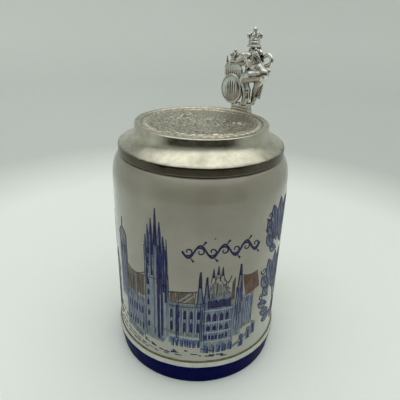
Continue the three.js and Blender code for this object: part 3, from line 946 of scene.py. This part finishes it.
def leaf(paints, root, tip, belly, tilt):
    """A pointed leaf, dark on one side of its spine. Belly is half its width; tilt bends the tip."""
    root, tip = np.array(root, dtype=float), np.array(tip, dtype=float)
    along = tip - root
    side = np.array([-along[1], along[0]]) / np.linalg.norm(along)
    steps = np.linspace(0, 1, 9)
    spine = [root + along * t + side * tilt * t * t for t in steps]
    swell = [belly * (math.sin(math.pi * t**1.3) ** 0.8 if 0 < t < 1 else 0.02) for t in steps]
    left = [tuple(p + side * w) for p, w in zip(spine, swell)]
    right = [tuple(p - side * w) for p, w in zip(spine, swell)]
    middle = [tuple(p) for p in spine]
    dark, light = (left, right) if tilt > 0 else (right, left)
    paints.cobalt.area(dark + middle[-2:0:-1])
    paints.leaf.area(light + middle[-2:0:-1])
    paints.navy.stroke(left, 0.5)
    paints.navy.stroke(right, 0.5)
    paints.navy.stroke(spine, 0.7, 0.25)


def cartouche(paints, middle):
    """Two sprays of leaves, one above the other, the same on both sides of a boss in the middle."""
    leaves = [
        ((12, 76), (20.5, 84), 2.6), ((8, 73), (16.5, 76), 2.2), ((12, 80), (21, 92.5), 2.8),
        ((9, 78), (17.5, 100), 3.6), ((5, 76), (10, 102), 3.6), ((2, 74), (2.5, 100), 3.0),
        ((12, 40), (21.5, 42.5), 2.6), ((9, 34), (18.6, 35.5), 2.6), ((6, 31), (15.5, 28), 2.6),
        ((12, 45), (18.6, 52), 2.4), ((12, 50), (21, 60), 3.0), ((8, 48), (16.5, 69), 3.6),
        ((5, 44), (9, 71), 3.6), ((2, 42), (2.5, 69), 3.2), ((2, 38), (1.5, 22.5), 3.2),
    ]
    rolls = [((18.4, 95.5), 2.6, 200), ((19.4, 88), 1.8, 20), ((18.8, 64), 2.4, 160), ((18.6, 47), 2.0, 90)]
    for side in (-1, 1):
        for (root_s, root_z), (tip_s, tip_z), belly in leaves:
            leaf(paints, (middle + side * root_s, root_z), (middle + side * tip_s, tip_z), belly, 1.2 * side)
        for (s, z), radius, start in rolls:
            paints.navy.stroke(spiral((middle + side * s, z), radius, start, 1.1), 0.9, 0.4)
    for low, high in ((73.5, 86), (36, 52)):
        centre, tall = (low + high) / 2, (high - low) / 2
        turns = np.linspace(0, 2 * math.pi, 25)[:-1]
        boss = [(middle + 0.62 * tall * math.cos(a), centre + tall * math.sin(a)) for a in turns]
        paints.pale.area(boss)
        paints.navy.stroke(boss + boss[:1], 0.8)
        for shift in (-2.2, 0, 2.2):
            s = middle + shift
            paints.navy.stroke([(s, centre - 0.6 * tall), (s, centre + 0.6 * tall)], 0.7)


def paint_wall(materials):
    layers = [
        ("wash", 0.03), ("pale", 0.10), ("umber", 0.05), ("rust", 0.06), ("leaf", 0.04), ("moss", 0.11),
        ("cobalt", 0.08), ("ink", 0.12), ("navy", 0.14),
    ]
    paints = SimpleNamespace()
    for name, height in layers:
        setattr(paints, name, Glaze("painted_" + name, getattr(materials, name), height))
    domed_tower(paints, -45.2, 3.9, 42, 84)
    left_houses(paints)
    far_left_houses(paints)
    middle_houses(paints)
    hall(paints)
    right_houses(paints)
    great_tower(paints)
    street(paints)
    flourish(paints)
    cartouche(paints, 57)
    cartouche(paints, -119)
    for paint in vars(paints).values():
        paint.piece()


# ---- Pewter: lid and hinge ----
def lid_outside():
    """The lid's outline from its lower edge up to the rim of the drum."""
    flange = bend((LID_R - 0.6, LID_BOTTOM), (LID_R, LID_BOTTOM), (LID_R, LID_BOTTOM + 0.7), 4)
    wall = [(LID_R, LID_BOTTOM + 1.1), (LID_R, LID_BOTTOM + 3.4)]
    edge = bend((LID_R, LID_BOTTOM + 3.9), (LID_R - 0.05, FLANGE_TOP), (LID_R - 0.7, FLANGE_TOP + 0.1), 5)
    cove = bend((LID_R - 1.0, FLANGE_TOP + 0.2), (DRUM_R + 0.3, 125.6), (DRUM_R + 0.05, 131), 14)
    rim = bend((DRUM_R, LID_TOP - 0.7), (DRUM_R, LID_TOP), (DRUM_R - 0.7, LID_TOP), 6)
    return flange + wall + edge + cove + rim


def make_lid(paints):
    seat = PLATE_LOW - 0.3
    recess = PLATE_R + 0.06
    top = [(0, seat), (recess, seat), (recess, LID_TOP - 0.2)]
    top += bend((recess, LID_TOP - 0.2), (recess, LID_TOP), (recess + 0.2, LID_TOP), 3)[1:]
    under = [(PLUG_R + 0.3, LID_BOTTOM)]
    under += bend((PLUG_R, LID_BOTTOM - 3.5), (PLUG_R, LID_BOTTOM - 4), (PLUG_R - 0.5, LID_BOTTOM - 4), 3)
    under += bend((PLUG_R - 1.4, LID_BOTTOM - 4), (PLUG_R - 1.9, LID_BOTTOM - 4), (PLUG_R - 1.9, 115), 3)
    under += bend((PLUG_R - 2, 119.6), (DRUM_R - 1.6, 121.5), (DRUM_R - 2.4, seat - 4), 6)
    under += bend((DRUM_R - 2.4, seat - 4), (DRUM_R - 2.4, seat - 2), (DRUM_R - 4.4, seat - 2), 4)[1:]
    profile = top + lid_outside()[::-1] + under + [(0, seat - 2)]
    rng = random.Random(5)
    dents = [(rng.uniform(0, 2 * math.pi), rng.uniform(0.05, 0.16)) for _ in range(9)]

    def dented(angle, radius, height):
        if radius < PLATE_R + 1 or height < LID_BOTTOM:
            return 0
        waves = 0.05 * math.sin(3 * angle + 0.7) + 0.04 * math.sin(7 * angle)
        for at, depth in dents:
            gap = math.remainder(angle - at, 2 * math.pi)
            waves -= depth * math.exp(-((gap / 0.05) ** 2)) * (radius > LID_R - 2)
        return waves

    points, faces, _ = lathe(profile, 256, dented)
    piece = mesh_piece("lid_shell", points, faces, [paints.pewter_turned], sharp=50)
    place(piece, LID, "pewter", "lid")


def past(value, width):
    """A soft step from 0 below zero to 1 above it."""
    return 0.5 * (1 + np.tanh(value / width))


def relief(x, y):
    """The height of the low relief at a place on the plate: a village on a hillside in a wreath."""
    right, up = -y, x
    radius, angle = np.hypot(x, y), np.arctan2(y, x)
    inner = past(26.0 - radius, 0.25)
    height = 0.30 * np.exp(-(((radius - 26.6) / 0.4) ** 2)) + 0.62 * past(radius - 30.9, 0.15)
    blade = np.abs(np.sin(angle * 24 + np.sign(np.sin(angle)) * (radius - 28.9) * 0.8))
    height += 0.45 * blade * np.exp(-(((radius - 28.9) / 1.3) ** 2))
    land = np.zeros_like(x)
    hills = [
        (12, 2.2, 6.1, 0.4), (6, 1.6, 4.2, 2.0), (-1, 1.8, 5.3, 4.4), (-8, 1.2, 3.7, 1.1),
        (-14, 1.4, 4.9, 3.0),
    ]
    for level, swing, wave, phase in hills:
        land += 0.16 * past(level + swing * np.sin(right / wave + phase) - up, 0.3)
    rng = random.Random(11)
    for _ in range(26):
        at, level = rng.uniform(-18, 18), rng.uniform(-6, 9)
        half, tall = rng.uniform(1.1, 2.0), rng.uniform(1.6, 3.2)
        wall = past(half - np.abs(right - at), 0.12) * past(up - level, 0.12) * past(level + tall - up, 0.12)
        slope = level + tall + (half + 0.5 - np.abs(right - at)) * 0.9
        roof = past(slope - up, 0.12) * past(up - level - tall, 0.12)
        land += 0.22 * wall * (1 - wall * 0.2) + 0.34 * roof
    for _ in range(120):
        at, level, size = rng.uniform(-23, 23), rng.uniform(-22, 12), rng.uniform(0.5, 1.3)
        land += 0.3 * np.exp(-(((right - at) / size) ** 2 + ((up - level) / (size * 1.2)) ** 2))
    rays = np.cos(np.arctan2(up - 14, right + 6) * 26) * past(up - 13.5, 0.6)
    return height + inner * (land * 0.75 + 0.05 * rays)


def make_plate(paints):
    """The relief plate, as a disc of fine rings whose top follows the relief."""
    field = PLATE_TOP - 0.25
    rings = [(radius, field) for radius in np.linspace(PLATE_R, 0, 151)]
    points, faces, _ = lathe([(0, PLATE_LOW), (PLATE_R, PLATE_LOW)] + rings, 512)
    points = np.array(points)
    top = points[:, 2] == field
    points[top, 2] += relief(points[top, 0], points[top, 1])
    piece = mesh_piece("relief_plate", points, faces, [paints.pewter_relief], sharp=60)
    place(piece, LID, "pewter", "lid_relief_plate")


def knuckle_span(index):
    pitch = (2 * HINGE_HALF + KNUCKLE_GAP) / 5
    start = -HINGE_HALF + index * pitch
    return start, start + pitch - KNUCKLE_GAP


def add_knuckles(clay, own, others):
    """Clears room for the other part's knuckles, then adds and bores this part's own."""
    for index in others:
        start, end = knuckle_span(index)
        clay.cut(clay.barrel(KNUCKLE_R + 0.4, start - KNUCKLE_GAP, end + KNUCKLE_GAP))
    for index in own:
        clay.add(clay.barrel(KNUCKLE_R, *knuckle_span(index)), 0.2)
    clay.cut(clay.barrel(BORE_R, -9, 9))


def make_shank(paints):
    """The bar over the edge of the lid, which carries the thumb lift and two of the knuckles."""
    clay = Clay((27, -7.6, 115.5), (54.5, 7.6, 136), 0.22)
    inner, top = SHANK_LOW.x, SHANK_HIGH.z
    back, saddle = PLINTH_X + PLINTH_HALF_DEPTH + 0.1, (HINGE_X - 6.7, HINGE_Z + 6.3)
    outline = [(inner, LID_TOP - 1), (inner, top - 0.3), (inner + 0.3, top), (back, top)]
    outline += bend((back, top), (back + 0.3, LID_TOP - 4), saddle, 6)[1:]
    outline += bend(saddle, (HINGE_X - 3.4, HINGE_Z + KNUCKLE_R + 1), (HINGE_X, HINGE_Z + KNUCKLE_R), 4)[1:]
    outline += [(HINGE_X, HINGE_Z - 3.2), (LID_R + 2, HINGE_Z - 2.9), (LID_R - 6, FLANGE_TOP - 0.2)]
    half = -extent("lid_shank")[0].y
    clay.add(clay.slab(outline, -half, half))
    lid_solid = [(0, LID_BOTTOM - 1), (0, LID_TOP)] + lid_outside()[::-1]
    clay.cut(clay.turned(lid_solid) - 0.02)
    add_knuckles(clay, own=(1, 3), others=(0, 2, 4))
    place(clay.piece("shank", paints.pewter_cast), LID, "pewter", "lid_shank")


def strap_distance(clay):
    """The distance from the handle's skin, measured across the strap."""
    across = np.abs(clay.y) / HANDLE_HALF_WIDTH
    upward = np.abs(clay.z - HANDLE_TOP) / HANDLE_HALF_THICK
    share = (across**HANDLE_SQUARENESS + upward**HANDLE_SQUARENESS) ** (1 / HANDLE_SQUARENESS)
    reach = np.sqrt(clay.y**2 + (clay.z - HANDLE_TOP) ** 2)
    return reach * (1 - 1 / np.maximum(share, 1e-3))


def make_strap(paints):
    """The band cast round the top of the handle, with a raised rim along each edge."""
    low, high = STRAP_LOW, STRAP_HIGH
    clay = Clay((low.x - 1, low.y - 1, low.z - 1), (high.x + 1, high.y + 1, high.z + 1), 0.2)
    skin = strap_distance(clay)
    middle, half = (low.x + high.x) / 2, (high.x - low.x) / 2
    band = np.maximum(np.maximum(skin - 1.55, 0.15 - skin), np.abs(clay.x - middle) - half)
    clay.add(band, 0.01)
    for side in (-1, 1):
        rim = np.sqrt((clay.x - middle - side * (half - 0.75)) ** 2 + (skin - 1.5) ** 2) - 0.65
        clay.add(rim, 0.4)
    place(clay.piece("strap", paints.pewter_cast), VESSEL, "pewter", "handle_strap")


def make_stand(paints):
    """The upright soldered to the strap, with its three knuckles."""
    clay = Clay((44.5, -9.5, 100), (61, 9.5, 129.5), 0.22)
    foot = HANDLE_TOP + HANDLE_HALF_THICK
    low_x, high_x = STRAP_LOW.x + 0.4, STRAP_HIGH.x - 0.4
    outline = [(low_x, foot), (high_x, foot)]
    outline += bend((high_x, foot), (high_x - 1, foot + 6), (HINGE_X + 5.2, foot + 9), 6)[1:]
    outline += [(HINGE_X + 3.5, HINGE_Z), (HINGE_X - 0.6, HINGE_Z), (HINGE_X - 1.3, HINGE_Z - 5)]
    outline += bend((HINGE_X - 1.3, HINGE_Z - 5), (HINGE_X, foot + 8), (low_x, foot), 6)[1:-1]
    clay.add(clay.slab(outline, -HINGE_HALF, HINGE_HALF))
    for side in (1, -1):
        waist = clay.ball((HINGE_X + 4, side * (HINGE_HALF + 4.2), 111.5), (12, 6, 5.5))
        clay.cut(waist, 0.6)
    clay.cut(strap_distance(clay) - 1.6, 0.1)
    add_knuckles(clay, own=(0, 2, 4), others=(1, 3))
    place(clay.piece("stand", paints.pewter_cast), VESSEL, "pewter", "hinge_stand")


def make_pin(paints):
    half = HINGE_HALF - 0.1
    profile = [(0, -half), (PIN_R - 0.2, -half), (PIN_R, -half + 0.2)]
    profile += [(PIN_R, half - 0.2), (PIN_R - 0.2, half), (0, half)]
    points, faces = turned_on_hinge(profile)
    place(mesh_piece("pin", points, faces, [paints.steel]), VESSEL, "steel", "hinge_pin")


def make_caps(paints):
    """A domed disc with a turned groove over each end of the knuckles."""
    radius = KNUCKLE_R - 0.2
    dome = [(0, 0), (radius, 0)] + bend((radius, 0.3), (radius, 0.75), (radius - 0.5, 0.8), 4)
    dome += bend((radius - 0.8, 0.7), (radius - 0.95, 0.62), (radius - 1.1, 0.75), 3)
    dome += bend((radius - 1.2, 0.9), (1.2, 1.6), (0, 1.62), 7)
    for end, side in (("left", 1), ("right", -1)):
        profile = [(r, side * (HINGE_HALF + 0.02 + h)) for r, h in dome[::side]]
        points, faces = turned_on_hinge(profile)
        piece = mesh_piece("end_cap_" + end, points, faces, [paints.pewter_cast])
        place(piece, VESSEL, "pewter", "hinge_cap_" + end)


# ---- The thumb lift ----
class Lift(Clay):
    """Clay whose places are (across, up, back) from the middle of the plinth's top."""

    def at(self, spot):
        across, up, back = spot
        return PLINTH_X + back, -across, PLINTH_TOP + up

    def oval(self, spot, radii, soft=0.5):
        across, up, back = radii
        self.add(self.ball(self.at(spot), (back, across, up)), soft)

    def rods(self, joints):
        """Tapered rods through joints of (across, up, back, radius)."""
        for (*start, start_radius), (*end, end_radius) in zip(joints, joints[1:]):
            yield self.rod(self.at(start), self.at(end), start_radius, end_radius)

    def limb(self, *joints, soft=0.5):
        for rod in self.rods(joints):
            self.add(rod, soft)

    def groove(self, *joints, soft=0.1):
        for rod in self.rods(joints):
            self.cut(rod, soft)

    def ring(self, spot, radius, thick, tall=1.0):
        """A level hoop."""
        x, y, z = self.at(spot)
        out = np.sqrt((self.x - x) ** 2 + (self.y - y) ** 2) - radius
        self.add(np.sqrt(out**2 + ((self.z - z) / tall) ** 2) - thick, 0.2)

    def drum(self, spot, low_radius, high_radius, tall):
        """A solid that widens upwards."""
        x, y, z = self.at(spot)
        share = np.clip((self.z - z) / tall, 0, 1)
        out = np.sqrt((self.x - x) ** 2 + (self.y - y) ** 2)
        out = out - (low_radius + (high_radius - low_radius) * share)
        self.add(np.maximum(out, np.maximum(z - self.z, self.z - z - tall)), 0.25)


def crown(lift, foot, radius, height):
    """A closed crown: brim, band, flared circlet with pearls, arches and an orb."""
    across, up, back = foot
    lift.drum(foot, radius * 0.86, radius * 0.74, height * 0.32)
    lift.ring((across, up + 0.03 * height, back), radius * 0.92, radius * 0.14)
    lift.ring((across, up + 0.24 * height, back), radius * 0.74, radius * 0.12)
    lift.drum((across, up + 0.28 * height, back), radius * 0.72, radius * 0.9, height * 0.22)
    count = 8
    for i in range(count):
        angle = 2 * math.pi * (i + 0.5) / count
        out, side = math.cos(angle), math.sin(angle)
        low = (across + 0.9 * radius * out, up + 0.46 * height, back + 0.9 * radius * side)
        tip = (across + radius * out, up + 0.6 * height, back + radius * side)
        over = (across + 0.55 * radius * out, up + 0.7 * height, back + 0.55 * radius * side)
        lift.limb((*low, radius * 0.17), (*tip, radius * 0.15), soft=0.15)
        top = (across, up + 0.74 * height, back, radius * 0.12)
        lift.limb((*tip, radius * 0.1), (*over, radius * 0.1), top, soft=0.2)
    lift.oval((across, up + 0.86 * height, back), (radius * 0.33,) * 3, 0.2)
    spike = (across, up + 0.9 * height, back, radius * 0.09)
    lift.limb(spike, (across, up + height, back, radius * 0.07), soft=0.1)


def shield(lift):
    """An oval shield with a raised rim and upright ribs, under a scroll and a small crown."""
    middle, radii = (-6.3, 8.1, -1.0), (7.2, 8.3, 1.9)
    lift.oval(middle, radii, 0.2)
    x, y, z = lift.at(middle)
    across, up = (lift.y - y) / radii[0], (lift.z - z) / radii[1]
    round_edge = (np.sqrt(across**2 + up**2) - 0.9) * radii[0]
    rim = np.sqrt(round_edge**2 + ((lift.x - x + 0.6) * 0.9) ** 2) - 0.62
    lift.add(rim, 0.3)
    for i in range(-3, 4):
        s = middle[0] + i * 1.55
        half = radii[1] * math.sqrt(max(0.02, 0.62 - (i * 1.55 / radii[0]) ** 2))
        lift.groove((s, middle[1] - half, -3.0, 0.5), (s, middle[1] + half, -3.0, 0.5), soft=0.15)
    lift.limb((-10.6, 17, -1, 1.1), (-10.5, 19.6, -1, 1.2), (-7.5, 21.3, -1, 1.25), (1.4, 22.1, -0.8, 1.2))
    lift.limb((-10.6, 17.2, -1, 1.1), (-11.1, 15.7, -1, 0.8), (-9.9, 15.2, -1, 0.7))
    lift.groove((-8.6, 20.4, -2.2, 0.3), (-4, 21.3, -2.2, 0.35), (1.0, 21.6, -2.0, 0.3), soft=0.2)
    for i in range(9):
        s = -10.2 + i * 1.3
        tip = (s * 1.02 - 0.2, 16.6 - 0.08 * (s + 5.5) ** 2, -1.4)
        lift.limb((0.5 * s - 3, 21, -1.2, 0.8), (0.9 * s - 0.8, 18.8, -1.6, 0.85), (*tip, 0.5), soft=0.15)
    lift.limb((-10.3, 20.4, -1, 0.9), (-10.5, 22.8, -1, 0.6), (-10.7, 25.1, -1, 0.4))
    crown(lift, (-5.4, 22.6, -0.9), 2.8, 6.4)


def mane(lift):
    """Locks that sweep back and down from the face, on both sides."""
    for side in (-1, 1):
        for row, (reach, count) in enumerate(((3.0, 9), (4.2, 11), (5.3, 11))):
            for i in range(count):
                angle = math.radians(-172 + 215 * i / (count - 1) + row * 8)
                out, rise = math.cos(angle), math.sin(angle)
                start = (5.9 + 0.62 * reach * out, 25.8 + 0.72 * reach * rise)
                end = (5.9 + 0.95 * reach * out, 25.1 + 0.85 * reach * rise - 0.9)
                back = side * (3.4 - 0.45 * row)
                lift.limb((*start, back, 0.72), (*end, back * 0.86, 0.4), soft=0.18)


def lion_head(lift):
    lift.oval((6.2, 28.4, 0), (3.2, 2.8, 2.8))
    lift.limb((5.0, 27.9, 0, 2.0), (3.3, 27.4, 0, 1.4), soft=0.6)
    lift.limb((4.9, 26.4, 0, 1.3), (3.4, 25.8, 0, 0.8), soft=0.4)
    lift.oval((2.2, 28.0, 0), (0.7, 0.5, 0.9), 0.2)
    lift.groove((1.9, 26.6, 0, 0.32), (4.2, 26.8, 0, 0.25))
    for side in (-1, 1):
        lift.limb((3.6, 29.4, side * 1.5, 0.5), (5.4, 30.0, side * 2.0, 0.6), soft=0.3)
        lift.groove((4.2, 28.9, side * 2.0, 0.36), (4.8, 28.9, side * 2.3, 0.36))
        lift.oval((8.0, 29.6, side * 2.3), (0.9, 1.1, 0.7), 0.3)
    lift.limb((8.4, 27.2, 0, 1.5), (10.0, 28.2, 0, 1.0), (9.4, 29.2, 0, 0.7), soft=0.3)


def paw(lift, spot, direction):
    """Three toes with claws. Direction is (across, up)."""
    across, up, back = spot
    ahead, rise = direction
    for toe in (-1, 0, 1):
        start = (across, up, back + toe * 0.8)
        knuckle = (across + ahead * 1.1, up + rise * 1.1, back + toe * 1.05)
        claw = (across + ahead * 1.9, up + rise * 1.9 - 0.5, back + toe * 1.15)
        lift.limb((*start, 0.85), (*knuckle, 0.62), (*claw, 0.25), soft=0.2)


def lion_body(lift):
    lift.limb((5.6, 22.9, 0, 3.4), (9.0, 20.6, 0.1, 3.3), (12.0, 18.2, 0.3, 3.3), soft=1.0)
    lift.oval((5.5, 24.0, 0), (4.7, 3.6, 3.4), 0.8)
    lift.oval((12.0, 17.8, 0.4), (3.7, 3.2, 3.1), 0.8)
    for i in range(4):
        s, u = 8.2 + i * 1.0, 19.4 - i * 0.6
        for start, end in ((-2.9, -3.2), (3.3, 3.6)):
            lift.groove((s, u, start, 0.28), (s + 1.5, u + 1.8, end, 0.2))


def lion_legs(lift):
    lift.limb((3.8, 25.9, -1.4, 2.6), (0.6, 25.6, -1.7, 2.3), (-2.2, 24.1, -1.7, 1.9))
    paw(lift, (-2.4, 23.6, -1.7), (-0.7, -0.6))
    lift.limb((3.2, 22.2, 1.0, 2.0), (0.8, 21.8, 0.6, 1.7), (-0.8, 21.7, 0.3, 1.4))
    paw(lift, (-1.0, 21.6, 0.3), (-0.9, -0.2))
    lift.limb((10.2, 16.9, -0.8, 3.4), (6.0, 16.0, -1.4, 3.4), (2.6, 14.9, -1.6, 2.9), (1.6, 13.6, -1.6, 2.4))
    lift.limb((1.8, 13.4, -1.6, 2.4), (3.8, 8.4, -1.6, 2.2), (4.2, 4.4, -1.5, 1.9), (3.2, 1.7, -1.3, 1.5))
    paw(lift, (2.6, 1.0, -1.3), (-1, -0.05))
    hind = [(11, 15.6, 1.2, 2.6), (9, 12.6, 1.4, 2.3), (7.8, 8.4, 1.5, 1.9), (8.2, 5, 1.4, 1.7)]
    lift.limb(*hind, (7, 1.7, 1.3, 1.4))
    paw(lift, (6.2, 1.1, 1.2), (-1, -0.05))


def lion_tail(lift):
    """The tail rises from the rump and curls forwards, and a fringe hangs behind the far leg."""
    route = [(13.2, 17.2), (15.4, 19.4), (13.2, 21.5), (15.6, 22.9), (16.3, 25.4), (14.2, 27.4), (11.8, 26.2)]
    path = smooth_path([(*p, 0.8) for p in route], 4)
    lift.limb(*[(*point, 0.95) for point in path], soft=0.3)
    for i in range(6):
        u = 13.8 - i * 1.4
        middle, tip = (10.6 - i * 0.2, u - 0.8, 1.3, 0.9), (12.0 - i * 0.3, u - 2.4, 1.6, 0.45)
        lift.limb((8.6, u, 1.3, 1.2), middle, tip, soft=0.2)
    lift.limb((9.4, 13, 1.6, 1.6), (7.4, 11, 1.6, 1.2), (6.4, 7, 1.6, 0.9), (6.0, 3, 1.4, 0.9))
    drape = [(0.6, 0.4, 1.2, 1.4), (0.8, 5, 1.2, 1.3), (0.6, 10, 1.2, 1.6), (1.0, 15, 1.0, 1.6)]
    lift.limb(*drape, (2.4, 21, 1.0, 1.4))


def ground(lift):
    """The plinth, with softened edges and a rocky mound on it."""
    half, deep = -extent("lid_shank")[0].y, PLINTH_HALF_DEPTH
    x, _, z = lift.at((0, 0, 0))
    low = SHANK_HIGH.z
    outline = [(x - deep, low), (x + deep, low), (x + deep, z - 0.4), (x + deep - 0.4, z)]
    outline += [(x - deep + 0.4, z), (x - deep, z - 0.4)]
    lift.add(lift.slab(outline, -half, half), 0.1)
    rng = random.Random(3)
    for i in range(14):
        s = -5 + i * 0.8
        lift.oval((s, 0.2 + rng.uniform(-0.2, 0.3), rng.uniform(-0.9, 0.9)), (1.1, 0.8, 1.1), 0.3)


def make_lift(paints):
    low, high = extent("thumb_lift")
    lift = Lift((low.x - 1, low.y - 1, SHANK_HIGH.z - 0.5), (high.x + 1, high.y + 1, high.z + 1), 0.24)
    ground(lift)
    lion_body(lift)
    mane(lift)
    lion_head(lift)
    crown(lift, (5.4, 30.9, 0), 3.7, 9.6)
    lion_legs(lift)
    lion_tail(lift)
    shield(lift)
    lift.cut(lift.z - SHANK_HIGH.z, 0.05)
    place(lift.piece("lion_lift", paints.pewter_lift, relax=1), LID, "pewter", "thumb_lift")


# ---- Assembly ----
SWEEP_FLAT, SWEEP_RADIUS, SWEEP_TOP = 90, 480, 400
FLAG_RADIUS, FLAG_HALF_ANGLE, FLAG_LOW, FLAG_TOP = 255, math.radians(67), 23, 270


def make_sweep():
    """A floor of pale paper that curves up into a wall all round, with painted shade that darkens the paper
    where it rises.
    """
    surface = Surface("sweep_paper", Specular_IOR_Level=0.2, Roughness=0.7)
    paper = surface.ramp(surface.noise(300, 2), (0.3, (0.83, 0.87, 0.84)), (0.7, (0.86, 0.90, 0.87)))
    share = surface.math("DIVIDE", surface.height(), SWEEP_TOP)
    # Painted shade: the paper's colour darkens with height where it curves up into the wall.
    shade = surface.ramp(share, (0.045, 1.0), (0.10, 0.68), (0.25, 0.7), (0.375, 0.8), (0.5, 0.84))
    surface.color(surface.mix(1.0, paper, shade, "MULTIPLY"))
    rise = SWEEP_RADIUS - SWEEP_FLAT
    turns = np.linspace(0, math.pi / 2, 25)
    profile = [(0, 0), (SWEEP_FLAT / 2, 0)]
    profile += [(SWEEP_FLAT + rise * math.sin(a), rise * (1 - math.cos(a))) for a in turns]
    points, faces, _ = lathe(profile + [(SWEEP_RADIUS, SWEEP_TOP)], 128)
    mesh_piece("sweep", points, faces, [surface.material])


def make_flag():
    """A dark curved card behind the camera, as a photographer's own shape, seen only in reflections."""
    surface = Surface("flag_cloth", Roughness=0.95, Specular_IOR_Level=0.1)
    cloth = surface.ramp(surface.noise(40, 3), (0.3, (0.030, 0.025, 0.018)), (0.7, (0.042, 0.036, 0.027)))
    surface.color(cloth)
    middle = camera_axes()[1] * (-1 / (FLAG_RADIUS * MM))
    facing = surface.node("ShaderNodeVectorMath", {0: surface.place, 1: middle}, operation="DOT_PRODUCT")
    sideways = surface.ramp(facing.node.outputs["Value"], (math.cos(FLAG_HALF_ANGLE), 0.0), (0.68, 0.95))
    upward = surface.ramp(surface.math("DIVIDE", surface.height(), FLAG_TOP), (0.6, 1.0), (1.0, 0.0))
    surface.set(surface.shader.inputs["Alpha"], surface.math("MULTIPLY", sideways, upward))
    points, faces = [], []
    turns = np.linspace(-FLAG_HALF_ANGLE, FLAG_HALF_ANGLE, 33)
    for turn in turns:
        angle = CAMERA_AZIMUTH + turn
        for z in (FLAG_LOW, FLAG_TOP):
            points.append((FLAG_RADIUS * math.cos(angle), FLAG_RADIUS * math.sin(angle), z))
    for i in range(0, 2 * len(turns) - 2, 2):
        faces.append((i, i + 1, i + 3, i + 2))
    flag = mesh_piece("flag", points, faces, [surface.material])
    flag.visible_camera = False
    flag.visible_diffuse = False
    flag.visible_shadow = False


def main():
    make_camera()
    make_light()
    make_sweep()
    make_flag()
    paints = make_materials()
    for make in (
        make_vessel, paint_wall, make_handle, make_lid, make_plate, make_shank, make_strap, make_stand,
        make_pin, make_caps, make_lift,
    ):
        make(paints)


main()
